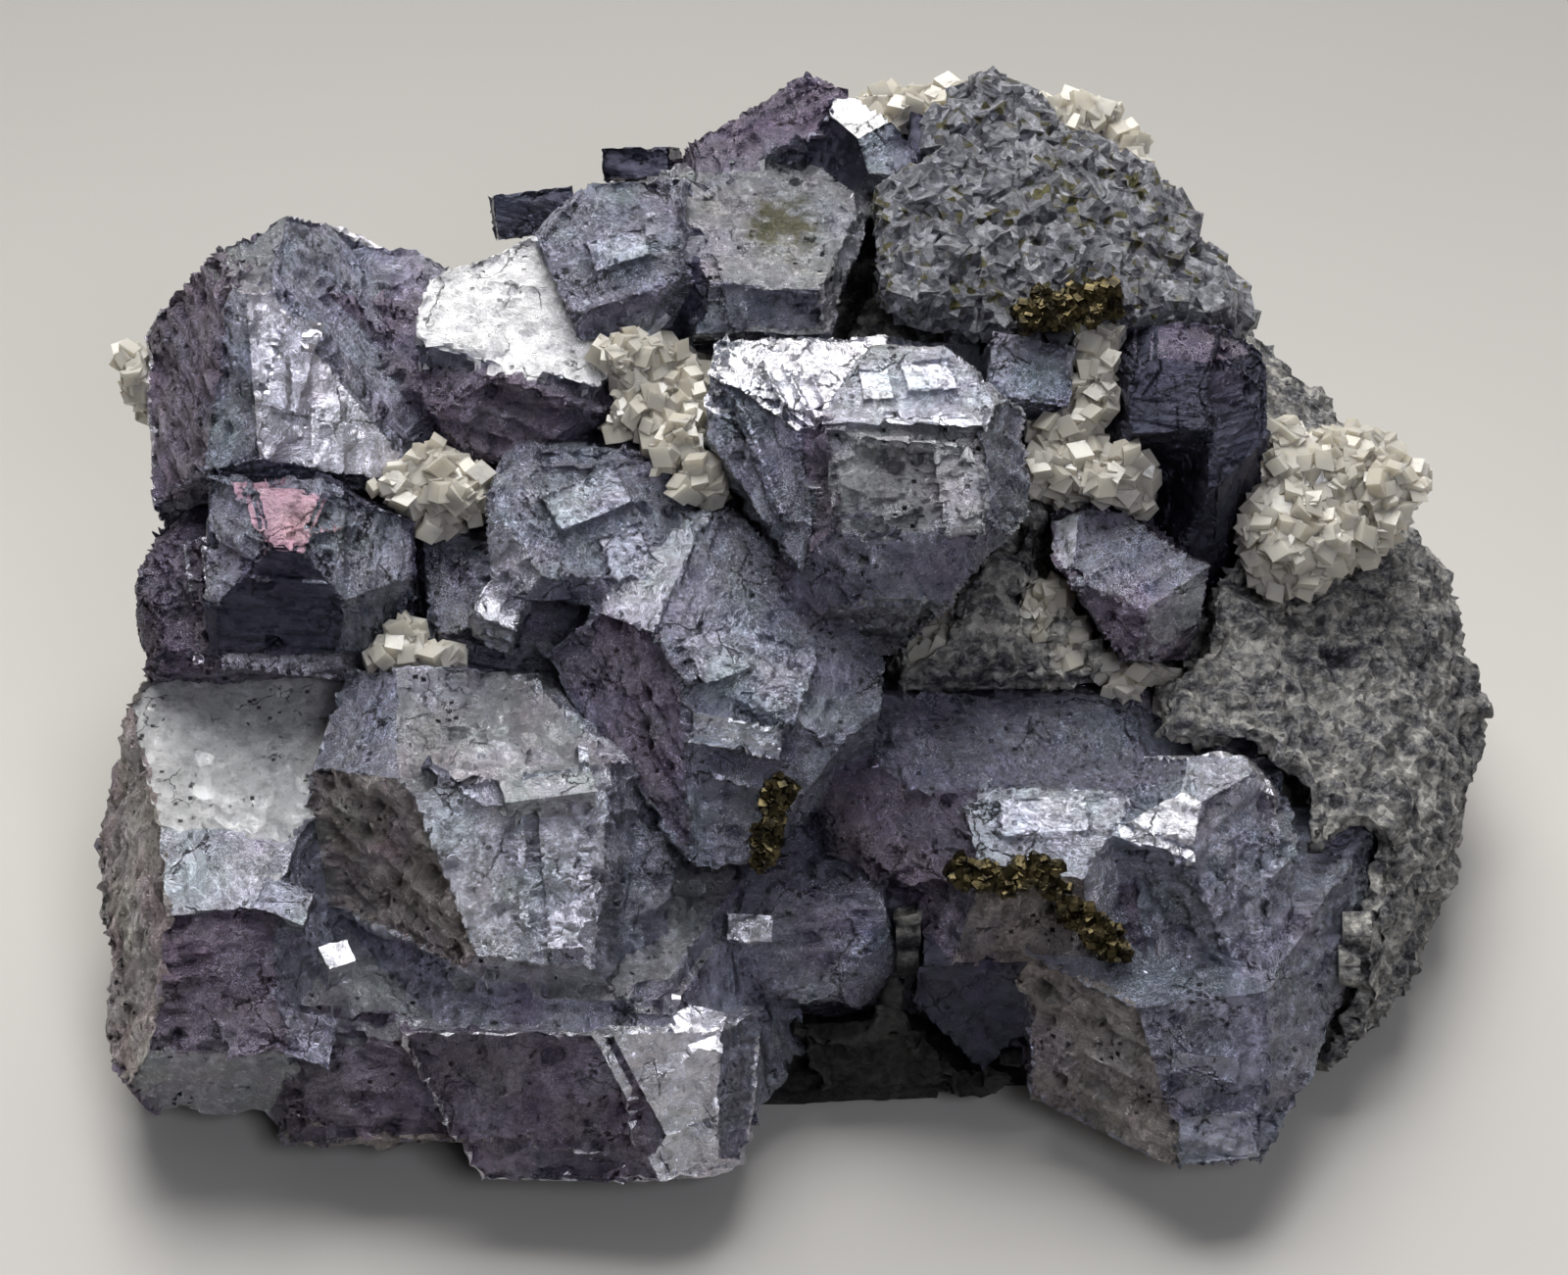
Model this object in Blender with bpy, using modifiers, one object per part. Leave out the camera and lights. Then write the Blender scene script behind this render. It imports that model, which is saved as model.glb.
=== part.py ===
"""A hand specimen of galena: cuboctahedral crystals grown over a grey host rock, with cream calcite
in the pockets, a band of fine-grained ore, and crusts of brassy pyrite.

The crystal-covered display side faces up and forward. Places on it are laid out on a grid, x to the
right and y down in steps of GRID mm, with out as the height above the grid's plane in mm. Sizes are
in millimetres until a finished shape is scaled to metres.
"""

import math
import random
from itertools import product

import bmesh
import bpy
from mathutils import Euler, Matrix, Vector, noise

for thing in list(bpy.data.objects):
    bpy.data.objects.remove(thing)

MM = 0.001

# Driving sizes, in millimetres and degrees
SLOPE = 48.0
SIDE_ORIGIN = Vector((-1.06, -4.60, 20.5))
ROCK_ORIGIN = Vector((-0.06, -1.20, 4.5))
GRID = 0.0514
GRID_CENTRE = (800, 650)
SIGHT = 260.0
SEAM = 0.3
FLOOR_CLEARANCE = 3.4
ROCK_GRAIN = 4.8
ORE_GRAIN = 2.2
CALCITE_SQUASH = 0.7


def side_axes():
    """The display side's across, up and out directions, as the columns of a matrix."""
    lean = math.radians(SLOPE)
    across = Vector((1, 0, 0))
    up = Vector((0, math.sin(lean), math.cos(lean)))
    out = Vector((0, -math.cos(lean), math.sin(lean)))
    return Matrix((across, up, out)).transposed()


SIDE = side_axes()


def on_side(x, y, out):
    """World place, in millimetres, of grid place (x, y) lying out from the display side."""
    scale = GRID * (1 - out / SIGHT)
    return SIDE_ORIGIN + SIDE @ Vector(((x - GRID_CENTRE[0]) * scale, (GRID_CENTRE[1] - y) * scale, out))


def seen_on(x, y, spot, normal):
    """World place where the line of sight through grid place (x, y) meets a plane."""
    eye = SIDE_ORIGIN + SIDE @ Vector((0, 0, SIGHT))
    ray = on_side(x, y, 0) - eye
    return eye + ray * ((spot - eye).dot(normal) / ray.dot(normal))


def looking(turn, tip):
    """Direction that looks turn degrees to the right and tip degrees up."""
    turn, tip = math.radians(turn), math.radians(tip)
    return Vector((math.sin(turn) * math.cos(tip), math.sin(tip), math.cos(turn) * math.cos(tip)))


class Crystal:
    """A crystal of flat faces on the display side, depth mm from its front to its back.

    front is its first face, as (turn, tip, x, y, out): the way the face looks and a place on it.
    Each further face is (turn, tip, x, y), and meets the first face at the grid place (x, y). A
    fifth number names another earlier face, which it meets there instead.
    """

    def __init__(self, front, faces, depth):
        turn, tip, x, y, out = front
        self.middle = on_side(x, y, out - depth / 2)
        self.reach = Vector((16, 16, depth / 2 + 4))
        self.faces = [(on_side(x, y, out), SIDE @ looking(turn, tip))]
        for turn, tip, x, y, *meets in faces:
            spot, normal = self.faces[meets[0] if meets else 0]
            self.faces.append((seen_on(x, y, spot, normal), SIDE @ looking(turn, tip)))
        self.faces.append((on_side(x, y, out - depth), SIDE @ looking(180, 0)))

    def mesh(self, grow=0.0):
        """The crystal as a bmesh in metres, with every face moved out by grow."""
        shape = bmesh.new()
        bmesh.ops.create_cube(shape, size=2.0)
        for vert in shape.verts:
            vert.co = self.middle + SIDE @ Vector(vert.co[i] * self.reach[i] for i in range(3))
        for spot, normal in self.faces:
            cut_off(shape, spot + normal * grow, normal)
        shape.transform(Matrix.Scale(MM, 4))
        return shape


class Cube:
    """A cube of the given half sizes whose corners are cut by an octahedron.

    face is the middle of its front face, which looks (turn, tip) and is rolled in its own plane.
    point is how far the octahedron's points reach.
    """

    def __init__(self, face, half, facing, point):
        turn, tip, roll = facing
        self.half = Vector(half)
        self.point = point
        self.axes = (
            SIDE
            @ Matrix.Rotation(math.radians(turn), 3, "Y")
            @ Matrix.Rotation(math.radians(-tip), 3, "X")
            @ Matrix.Rotation(math.radians(roll), 3, "Z")
        )
        self.middle = on_side(*face) - self.axes @ Vector((0, 0, half[2]))

    def mesh(self, grow=0.0):
        """The crystal as a bmesh in metres, with every face moved out by grow."""
        shape = bmesh.new()
        bmesh.ops.create_cube(shape, size=2.0)
        for vert in shape.verts:
            vert.co = Vector(vert.co[i] * (self.half[i] + grow) for i in range(3))
        for signs in product((-1, 1), repeat=3):
            normal = Vector(signs).normalized()
            cut_off(shape, normal * (self.point / math.sqrt(3) + grow), normal)
        shape.transform(Matrix.Scale(MM, 4) @ Matrix.Translation(self.middle) @ self.axes.to_4x4())
        return shape


def cut_off(shape, spot, normal):
    """Cuts off what lies beyond a plane and closes the cut."""
    everything = shape.verts[:] + shape.edges[:] + shape.faces[:]
    cut = bmesh.ops.bisect_plane(
        shape, geom=everything, dist=1e-6, plane_co=spot, plane_no=normal, clear_outer=True
    )
    edges = [item for item in cut["geom_cut"] if isinstance(item, bmesh.types.BMEdge)]
    if edges:
        bmesh.ops.edgeloop_fill(shape, edges=edges)


# Clumps of intergrown galena. Each clump is one solid, and a dark seam parts it from its neighbours.
GALENA = {
    "galena_lower_left": [
        # the tall block at the left corner: its front, silvery slope, pitted top and stepped left side
        Crystal((3, -3, 250, 960, 6.0), [
            (0, 27, 250, 925), (2, 43, 250, 845, 1), (-64, 5, 160, 900, 1), (2, -56, 280, 1080),
            (-93, 22, 128, 705, 2), (0, 93, 250, 656, 2), (60, 0, 352, 780, 2), (-93, -9, 95, 960, 3),
            (-80, -40, 122, 1110, 3), (-93, 13, 92, 850, 3), (70, -10, 420, 1050), (0, -93, 280, 1156, 4),
        ], 14),
        # the broad blue-grey crystal beside it: its main face, dark left face and granular top
        Crystal((12, 4, 520, 860, 8.5), [
            (-46, -16, 432, 850), (4, 46, 520, 790), (62, -2, 622, 870), (4, -50, 540, 985),
            (-42, 36, 400, 760, 2), (0, 93, 470, 676, 2), (72, 52, 585, 725, 2), (-93, 14, 312, 770, 1),
            (-70, -58, 365, 945, 1),
        ], 14),
        Crystal((-2, -12, 560, 1080, 6.5), [
            (0, 48, 560, 1010), (-50, -10, 470, 1090), (56, 0, 690, 1060), (0, -70, 560, 1135),
        ], 10),
        # the layered ledge at the bottom
        Crystal((-6, -14, 400, 1110, 4.6), [
            (0, 45, 400, 1050), (-60, -10, 290, 1110), (0, -75, 400, 1172), (70, 0, 520, 1120),
        ], 9),
        Crystal((22, -10, 704, 1150, 6.2), [
            (-6, -24, 664, 1160), (66, -6, 740, 1110), (4, 82, 690, 1046), (0, -93, 640, 1216, 1),
            (-93, -24, 452, 1160, 1), (93, -5, 779, 1080, 2), (60, -60, 735, 1196, 2),
        ], 9),
        Crystal((30, 2, 645, 930, 5.0), [
            (-60, 0, 600, 930), (10, 76, 640, 850), (88, -10, 684, 960), (0, -70, 650, 1030),
        ], 9),
        Cube((721, 1048, 6.6), (1.2, 1.2, 1.6), (12, 16, -14), 3.4),
    ],
    "galena_centre_left": [
        # the big one in the middle of the display side
        Crystal((6, -10, 745, 790, 7.0), [
            (-44, -10, 694, 770), (22, 27, 760, 715), (-28, 40, 695, 575, 2), (0, 93, 703, 508, 2),
            (60, 60, 770, 530, 2), (93, 44, 835, 592, 2), (93, -5, 908, 690, 2), (74, -38, 835, 800),
            (0, -93, 740, 888), (-80, -36, 640, 806, 1), (-93, -30, 576, 712, 1), (-80, 42, 590, 632, 1),
        ], 13),
        Crystal((6, 22, 610, 530, 3.2), [
            (-32, -4, 520, 540), (4, -36, 600, 590), (70, 0, 698, 510), (0, 75, 600, 452),
            (-60, 50, 512, 478),
            (0, -93, 590, 620, 2), (-93, 0, 490, 565, 1), (62, -50, 665, 568), (74, 56, 682, 474),
        ], 9),
        Crystal((-28, 12, 455, 590, 1.0), [
            (30, 10, 480, 600), (-10, 70, 455, 552), (-80, 0, 428, 600), (0, -60, 460, 646),
        ], 8),
        Cube((512, 614, 3.2), (1.5, 1.4, 1.7), (8, 26, -24), 4.2),
    ],
    "galena_lower_right": [
        # the bright square face with its striated top and dark right side
        Crystal((-16, 20, 1195, 843, 6.5), [
            (44, 2, 1222, 850), (16, 54, 1200, 798), (-34, -28, 1174, 864), (93, 0, 1312, 900, 1),
            (0, 93, 1240, 764, 2), (-93, -10, 1136, 890, 3), (0, -93, 1220, 1006, 1),
            (80, 40, 1300, 800, 1),
            (-52, 50, 1172, 820),
        ], 11),
        # the broad light face, with its steep lower side
        Crystal((-2, 22, 1060, 845, 5.6), [
            (-4, -26, 1040, 893), (-58, 0, 985, 840), (50, -10, 1134, 850), (0, 72, 1060, 797),
            (0, -93, 1020, 990, 1), (-80, -8, 914, 950, 1), (80, -10, 1145, 960, 1), (-76, 50, 990, 812),
        ], 10),
        # the smooth dark face under it
        Crystal((0, -46, 1010, 1035, 1.6), [
            (-4, 50, 1010, 984), (-93, -42, 945, 1045), (93, -38, 1068, 1034), (-4, -93, 990, 1098),
            (-93, 10, 929, 1006),
        ], 7),
        Crystal((2, -2, 1235, 950, 4.6), [
            (-40, -10, 1160, 950), (52, 0, 1300, 950), (0, -50, 1235, 1015), (0, 60, 1235, 860),
            (93, 0, 1330, 960, 2),
        ], 10),
        Crystal((8, -15, 1240, 1130, 5.0), [
            (-36, -24, 1176, 1090), (56, -6, 1300, 1110), (0, 44, 1230, 1018), (0, -93, 1240, 1199),
            (-74, -60, 1118, 1160, 1), (-93, -5, 1043, 1090, 1), (93, -30, 1325, 1140, 2),
        ], 9),
        # the radiating ridge above
        Crystal((2, 36, 1030, 760, 1.8), [
            (-48, 10, 905, 750), (58, 10, 1155, 765), (0, 82, 1030, 700), (0, -44, 1030, 806),
        ], 8),
        Crystal((-14, 6, 915, 850, 3.4), [
            (-76, -14, 838, 840), (70, 0, 1000, 850), (0, 60, 920, 797), (0, -70, 930, 905),
            (-70, -50, 860, 890),
        ], 8),
    ],
    "galena_lower_middle": [
        Crystal((-6, -6, 820, 960, 2.2), [
            (0, 50, 820, 905), (-74, 10, 742, 950), (72, 10, 912, 960), (0, -78, 830, 1026),
            (-60, -40, 760, 1000),
            (40, -36, 880, 985),
        ], 8),
        Cube((765, 945, 3.2), (1.4, 0.9, 1.4), (-4, 12, -2), 4.0),
    ],
    "galena_centre_pair": [
        # the rounded crystal on the right
        Crystal((2, 8, 925, 480, 8.0), [
            (4, 48, 920, 432), (4, -30, 930, 545), (62, 8, 1012, 470), (-60, 0, 842, 470),
            (44, -34, 1000, 545),
            (-36, -34, 868, 552), (0, 93, 930, 344, 1), (0, -76, 930, 622, 2), (93, 0, 1056, 460, 3),
            (50, 46, 992, 405), (-93, 30, 832, 420, 4), (93, -40, 1040, 550, 3), (93, 52, 1014, 378, 1),
            (-70, 62, 868, 358, 1),
        ], 12),
        # its flatter partner on the left
        Crystal((-32, -4, 775, 470, 5.2), [
            (50, 0, 822, 480), (12, 44, 800, 412), (-12, 50, 752, 392), (-93, 6, 716, 400),
            (-80, -30, 765, 520),
            (0, -93, 822, 590), (0, 93, 790, 334, 2), (-60, 70, 735, 345, 3),
        ], 10),
    ],
    "galena_right_middle": [
        Crystal((-22, -20, 1172, 622, 4.0), [
            (8, 42, 1172, 622), (46, -16, 1172, 622), (-32, 42, 1098, 548, 1), (-93, -5, 1073, 600),
            (-70, -50, 1098, 655), (0, -93, 1150, 683), (93, -8, 1236, 605, 2), (72, -45, 1210, 655, 2),
            (80, 58, 1190, 543, 1), (-70, 65, 1084, 522, 3), (-93, -34, 1060, 560, 3),
        ], 8),
    ],
    "galena_right": [
        Crystal((-4, 6, 1192, 400, 1.6), [
            (4, 58, 1190, 362), (0, 93, 1200, 326, 1), (-76, 0, 1149, 390), (76, 0, 1238, 390),
            (0, -70, 1192, 442),
            (-50, 50, 1160, 368),
        ], 7),
        Crystal((28, 6, 1262, 410, 0.4), [
            (0, 60, 1262, 358), (-70, 0, 1232, 410), (93, 0, 1300, 400), (20, -50, 1255, 500),
            (60, -30, 1285, 460),
            (0, 93, 1262, 336, 1), (93, 50, 1290, 350, 1),
        ], 7),
        Cube((1054, 375, 0.6), (2.4, 1.9, 2.6), (10, 14, -10), 5.2),
    ],
    "galena_left": [
        # the dark smooth face, and the little face above it
        Crystal((-5, -34, 285, 620, 4.2), [
            (0, 23, 290, 563), (40, 4, 330, 520, 1), (-42, 6, 258, 520, 1), (52, -30, 354, 618),
            (-52, -24, 214, 612),
            (0, -93, 300, 672), (0, 76, 305, 490, 1), (93, 0, 428, 560, 2), (-93, 0, 205, 545, 3),
            (80, 62, 388, 512, 2),
        ], 9),
        Crystal((-18, 8, 185, 612, 0.6), [
            (30, 14, 208, 620), (-93, 2, 127, 620), (0, 62, 170, 545), (0, -76, 170, 684),
            (-60, -20, 150, 650),
            (-70, 50, 148, 560),
        ], 8),
    ],
    "galena_upper_left": [
        # the big crystal at the left end: bright front, narrow edge face, dark left face, rough top
        Crystal((22, -2, 305, 390, 2.4), [
            (-25, -5, 258, 400), (-58, 3, 212, 400, 1), (12, 50, 275, 294), (62, 27, 335, 365),
            (0, -70, 300, 478),
            (-93, 55, 216, 246, 2), (-93, -6, 148, 440, 2), (0, 93, 285, 213, 3), (80, 62, 332, 226, 3),
            (-93, 32, 150, 324, 2),
        ], 12),
        Crystal((30, -6, 350, 345, -2.6), [
            (-70, 0, 292, 340), (93, 30, 392, 340), (10, -60, 355, 398), (0, 93, 345, 290),
        ], 8),
        Crystal((10, 22, 405, 270, -7.5), [
            (0, 93, 400, 247), (93, 12, 463, 280), (-93, 0, 345, 270), (0, -50, 400, 302),
            (93, 62, 436, 256),
        ], 8),
        Crystal((-10, 10, 430, 345, -3.0), [
            (0, 60, 430, 312), (80, 0, 470, 345), (-76, 0, 392, 345), (0, -60, 430, 378),
            (0, 93, 430, 296, 1),
        ], 8),
        # the blinding white top, and the purple faces under it
        Crystal((2, 27, 530, 320, -1.2), [
            (-93, 66, 470, 265), (-30, -52, 520, 379), (93, -42, 618, 400), (80, 60, 600, 270),
            (-93, 10, 430, 290),
        ], 8),
        Crystal((-8, -22, 530, 430, 0.3), [
            (28, 50, 548, 394), (-76, -32, 435, 422), (72, -60, 575, 448), (0, -93, 500, 477),
            (-30, 20, 470, 400), (0, 88, 470, 372, 5), (-70, 30, 420, 380, 5),
        ], 8),
    ],
    "galena_top": [
        Crystal((-14, 27, 625, 255, -0.8), [
            (6, -32, 640, 302), (-82, -19, 560, 285), (-80, 41, 573, 208), (0, 93, 645, 176),
            (78, 6, 700, 230),
            (0, -93, 620, 354, 1), (70, -40, 680, 310, 1),
        ], 10),
        Crystal((4, 36, 790, 235, -2.2), [
            (0, -20, 780, 290), (-60, 0, 703, 250), (60, 0, 862, 250), (0, 82, 780, 168),
            (-54, 60, 715, 190),
            (0, -78, 770, 345, 1), (-93, 0, 645, 260, 2), (54, 56, 850, 190), (93, -20, 884, 260, 3),
        ], 10),
        Crystal((-18, 30, 770, 135, -8.0), [
            (-93, 59, 765, 100), (-82, -5, 703, 160), (60, -66, 770, 165), (93, 60, 846, 76),
            (93, -20, 862, 110),
        ], 7),
        Crystal((20, 5, 912, 155, -5.6), [
            (-2, 38, 892, 130), (-46, -12, 880, 160), (66, 15, 940, 160), (20, -60, 905, 180),
            (0, 93, 870, 94, 1),
            (-93, 20, 832, 125, 2), (93, 48, 918, 124, 3),
        ], 7),
        Cube((547, 216, -12.6), (2.4, 1.4, 2.4), (6, -4, 8), 9.0),
        Cube((648, 166, -14.5), (2.1, 1.1, 2.4), (-8, -4, 2), 9.0),
        Cube((980, 138, -9.5), (2.9, 1.4, 2.4), (4, 12, -4), 6.0),
    ],
}


# Calcite crusts, each over the patches (x, y, out, half width, half height), with its number of
# rhombs in every patch and their edge in millimetres
CALCITE = {
    "calcite_upper_pocket": ([(672, 400, -0.6, 62, 46), (716, 462, 0.4, 34, 44)], 7, 2.5),
    "calcite_middle_pocket": ([(1108, 470, -1.2, 52, 60), (1130, 385, -2.0, 26, 40)], 7, 2.7),
    "calcite_right": ([(1392, 492, -5.0, 56, 44), (1318, 520, -3.4, 34, 52)], 7, 2.9),
    "calcite_back_left": ([(925, 116, -14.2, 58, 18), (985, 110, -14.2, 24, 16)], 4, 2.0),
    "calcite_back_right": ([(1090, 126, -14.6, 42, 26), (1140, 168, -13.9, 20, 20)], 4, 2.0),
    "calcite_left_pocket": ([(388, 502, -0.6, 36, 26), (458, 500, -0.4, 36, 40)], 7, 1.9),
    "calcite_lower_left_pocket": ([(412, 668, 0.2, 44, 32)], 8, 2.1),
    "calcite_dark_pocket": ([(985, 668, -2.8, 66, 56), (1075, 655, -2.4, 22, 36)], 6, 2.5),
    "calcite_under_middle": ([(1200, 722, -2.4, 44, 28), (1150, 700, -1.6, 22, 18)], 5, 2.0),
    "calcite_left_edge": ([(164, 398, -5.5, 22, 34)], 5, 2.0),
}

# Pyrite crusts, each along its grid places (x, y, out), with the edge of its cubes
PYRITE = {
    "pyrite_crust": ([
        (984, 890, 6.0), (1004, 893, 6.2), (1024, 896, 6.3), (1044, 892, 6.4), (1062, 890, 6.5),
        (1076, 902, 6.3),
        (1088, 918, 6.0), (1100, 932, 5.7), (1114, 944, 5.4), (1126, 956, 5.0), (1136, 970, 4.7),
    ], 1.1),
    "pyrite_on_middle": ([
        (796, 806, 6.6), (792, 820, 6.5), (788, 834, 6.4), (784, 848, 6.3), (779, 862, 6.2),
        (774, 876, 6.0),
    ], 0.9),
    "pyrite_on_ore": ([
        (1052, 322, 0.6), (1068, 314, 0.4), (1084, 318, 0.4), (1098, 308, 0.2), (1112, 312, 0.2),
        (1126, 304, 0.0),
    ], 1.2),
}

# The fine-grained ore slope at the upper right, through its outer places
ORE = [
    (895, 175, -4.6), (945, 110, -8.0), (1055, 96, -9.5), (1150, 146, -9.5), (1206, 205, -9.0),
    (1272, 282, -8.0),
    (1325, 345, -7.0), (1190, 362, -1.0), (1040, 350, 0.6), (930, 345, 1.2), (885, 290, 0.8),
    (1010, 230, -1.0),
    (1120, 240, -2.4), (1215, 300, -3.0), (880, 240, -1.4), (980, 160, -4.4), (1080, 150, -5.8),
    (910, 330, -9.0), (1080, 350, -11.0), (1270, 355, -12.0), (950, 130, -14.0), (1160, 176, -15.0),
]

# The host rock's outer places, in millimetres from ROCK_ORIGIN
ROCK = [
    (-30, -11, -6.5), (-32, 0, -6.5), (-31, 12, -6.5), (-25, 22, -6.5), (-10, 27, -6.5), (12, 28, -6.5),
    (24, 22, -6.5), (33, 10, -6.5), (35, -1, -6.5), (32, -10, -6.5), (25, -17, -6.5), (12, -15, -6.5),
    (-4, -14, -6.5), (-20, -17, -6.5),
    (-33, -17, -1), (-36, -4, -1), (-35, 12, -1), (-28, 24, -1), (-10, 30, -1), (12, 31, -1), (26, 24, -1),
    (36, 10, -1), (38, -1, -1), (35, -13, -1), (27, -21, -1), (12, -18, -1), (-4, -17, -1), (-22, -20, -1),
    (39.6, 1, 4), (37.6, 9, 7.5), (31.5, 19, 11), (33.5, 5, 13.5), (28, 12, 18.5), (34, -9, 7), (26, -14, 10.5),
    (18, 27, 19), (-2, 29, 18), (-14, 28, 17), (-25, 26, 14), (-33.5, 20, 12), (-35.5, 9, 14), (-36, 0, 11),
    (-31, -12, 7), (-35, -9, 5),
    (-26, 8, 15), (-12, 14, 20), (4, 19, 23.5), (20, 18, 22.5), (18, 4, 18.5), (4, 2, 18.5), (-12, 0, 14),
    (-22, -14, 8), (-4, -14, 8.5), (12, -13, 8.5), (27, -20, 4),
]


def new_object(name, shape, collection):
    """Links a bmesh as a named object."""
    mesh = bpy.data.meshes.new(name)
    shape.to_mesh(mesh)
    shape.free()
    piece = bpy.data.objects.new(name, mesh)
    collection.objects.link(piece)
    return piece


def settled(piece):
    """An object's evaluated mesh, with its modifiers applied and taken off."""
    graph = bpy.context.evaluated_depsgraph_get()
    mesh = bpy.data.meshes.new_from_object(piece.evaluated_get(graph), depsgraph=graph)
    piece.modifiers.clear()
    return mesh


def closed_volume(mesh):
    """Volume of a mesh in cubic millimetres, or 0 if it isn't closed."""
    shape = bmesh.new()
    shape.from_mesh(mesh)
    closed = len(shape.faces) > 3 and all(edge.is_manifold for edge in shape.edges)
    volume = shape.calc_volume(signed=True) / MM ** 3 if closed else 0.0
    shape.free()
    return volume


def tried(piece, other, operation, solver):
    """The mesh that one Boolean would give."""
    modifier = piece.modifiers.new("join", "BOOLEAN")
    modifier.operation = operation
    modifier.solver = solver
    modifier.object = other
    return settled(piece)


def combine(piece, others, operation):
    """Joins or cuts a piece with helper objects, which are removed afterwards.

    The exact solver empties or opens some of these pieces, and then the manifold one does the job.
    """
    for other in others:
        before = closed_volume(piece.data)
        least = before if operation == "UNION" else before * 0.05
        result = tried(piece, other, operation, "EXACT")
        after = closed_volume(result)
        if not least * 0.999 <= after <= before + closed_volume(other.data):
            if before > 0 and closed_volume(other.data) > 0:
                result = tried(piece, other, operation, "MANIFOLD")
        piece.data = result
        bpy.data.objects.remove(other)
    return piece


def keep_biggest(piece):
    """Keeps the largest body of a mesh, merges what a cut left doubled, and closes pinholes."""
    shape = bmesh.new()
    shape.from_mesh(piece.data)
    bmesh.ops.remove_doubles(shape, verts=shape.verts[:], dist=0.000004)
    bmesh.ops.dissolve_degenerate(shape, edges=shape.edges[:], dist=0.000004)
    bmesh.ops.triangulate(shape, faces=shape.faces[:])
    waiting = set(shape.faces)
    bodies = []
    while waiting:
        body = []
        reached = [waiting.pop()]
        while reached:
            face = reached.pop()
            body.append(face)
            for edge in face.edges:
                if len(edge.link_faces) != 2:
                    continue
                for other in edge.link_faces:
                    if other in waiting:
                        waiting.remove(other)
                        reached.append(other)
        bodies.append(body)
    bodies.sort(key=body_area, reverse=True)
    spare = [face for body in bodies[1:] for face in body]
    bmesh.ops.delete(shape, geom=spare, context="FACES")
    loose = [edge for edge in shape.edges if not edge.link_faces]
    bmesh.ops.delete(shape, geom=loose, context="EDGES")
    gaps = [edge for edge in shape.edges if edge.is_boundary]
    bmesh.ops.holes_fill(shape, edges=gaps, sides=4)
    shape.to_mesh(piece.data)
    shape.free()
    return piece


def body_area(body):
    """Surface of a body's faces."""
    return sum(face.calc_area() for face in body)


def lump(name, places, collection, grain, rough, seed):
    """A rough rounded lump through outer places, evenly meshed and roughened by noise."""
    shape = bmesh.new()
    for place in places:
        shape.verts.new(place * MM)
    bmesh.ops.convex_hull(shape, input=shape.verts[:])
    spare = [vert for vert in shape.verts if not vert.link_faces]
    bmesh.ops.delete(shape, geom=spare, context="VERTS")
    bmesh.ops.recalc_face_normals(shape, faces=shape.faces[:])
    piece = new_object(name, shape, collection)
    remesh = piece.modifiers.new("even", "REMESH")
    remesh.mode = "VOXEL"
    remesh.voxel_size = grain * MM
    piece.data = settled(piece)
    drift = Vector((seed * 7.3, seed * 3.1, seed * 5.7))
    piece.data.update()
    moves = []
    for vert in piece.data.vertices:
        spot = vert.co / MM
        height = noise.noise(spot * 0.11 + drift) * 1.4 + noise.noise(spot * 0.42 + drift)
        moves.append(vert.normal * (height * rough * MM))
    for vert, move in zip(piece.data.vertices, moves):
        vert.co += move
    return piece


def swollen(piece, amount, collection):
    """A copy of a piece with its surface moved out, to cut a seam round it."""
    copy = bpy.data.objects.new(piece.name + "_cutter", piece.data.copy())
    collection.objects.link(copy)
    copy.data.update()
    moves = [vert.normal * (amount * MM) for vert in copy.data.vertices]
    for vert, move in zip(copy.data.vertices, moves):
        vert.co += move
    return copy


def rhomb(middle, edge, spin):
    """A calcite cleavage rhomb: a cube squashed along its long diagonal, then turned."""
    shape = bmesh.new()
    bmesh.ops.create_cube(shape, size=edge)
    diagonal = Vector((1, 1, 1)).normalized()
    squash = Matrix.Scale(CALCITE_SQUASH, 4, diagonal)
    turn = Euler(spin).to_matrix().to_4x4()
    shape.transform(Matrix.Scale(MM, 4) @ Matrix.Translation(middle) @ turn @ squash)
    return shape


def calcite_crust(name, collection, grow=0.0):
    """A crust of intergrown rhombs over its patches, on a low mound that holds them together."""
    patches, count, edge = CALCITE[name]
    chance = random.Random(len(name) * 31 + count)
    mounds = []
    rhombs = []
    for x, y, out, wide, high in patches:
        middle = on_side(x, y, out - 1.6)
        mound = bmesh.new()
        bmesh.ops.create_icosphere(mound, subdivisions=1, radius=1.0)
        reach = (wide * GRID * 0.95 + 0.4 + grow, high * GRID * 0.95 + 0.4 + grow, 2.6 + grow, 1)
        mound.transform(Matrix.Scale(MM, 4) @ Matrix.Translation(middle) @ SIDE.to_4x4() @ Matrix.Diagonal(reach))
        mounds.append(mound)
        for number in range(count):
            angle = (number + chance.random()) * 2.4
            far = math.sqrt((number + 0.5) / count)
            lift = out + 0.2 + chance.random() * 0.9 - far * 1.1
            place = on_side(x + wide * far * math.cos(angle), y + high * far * math.sin(angle), lift)
            size = edge * (0.75 + chance.random() * 0.55) + 2 * grow
            spin = [chance.random() * 2 * math.pi for _ in range(3)]
            rhombs.append(rhomb(place, size, spin))
    shapes = mounds + rhombs
    first = new_object(name, shapes[0], collection)
    others = [new_object(name + "_part", shape, collection) for shape in shapes[1:]]
    return combine(first, others, "UNION")


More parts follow.
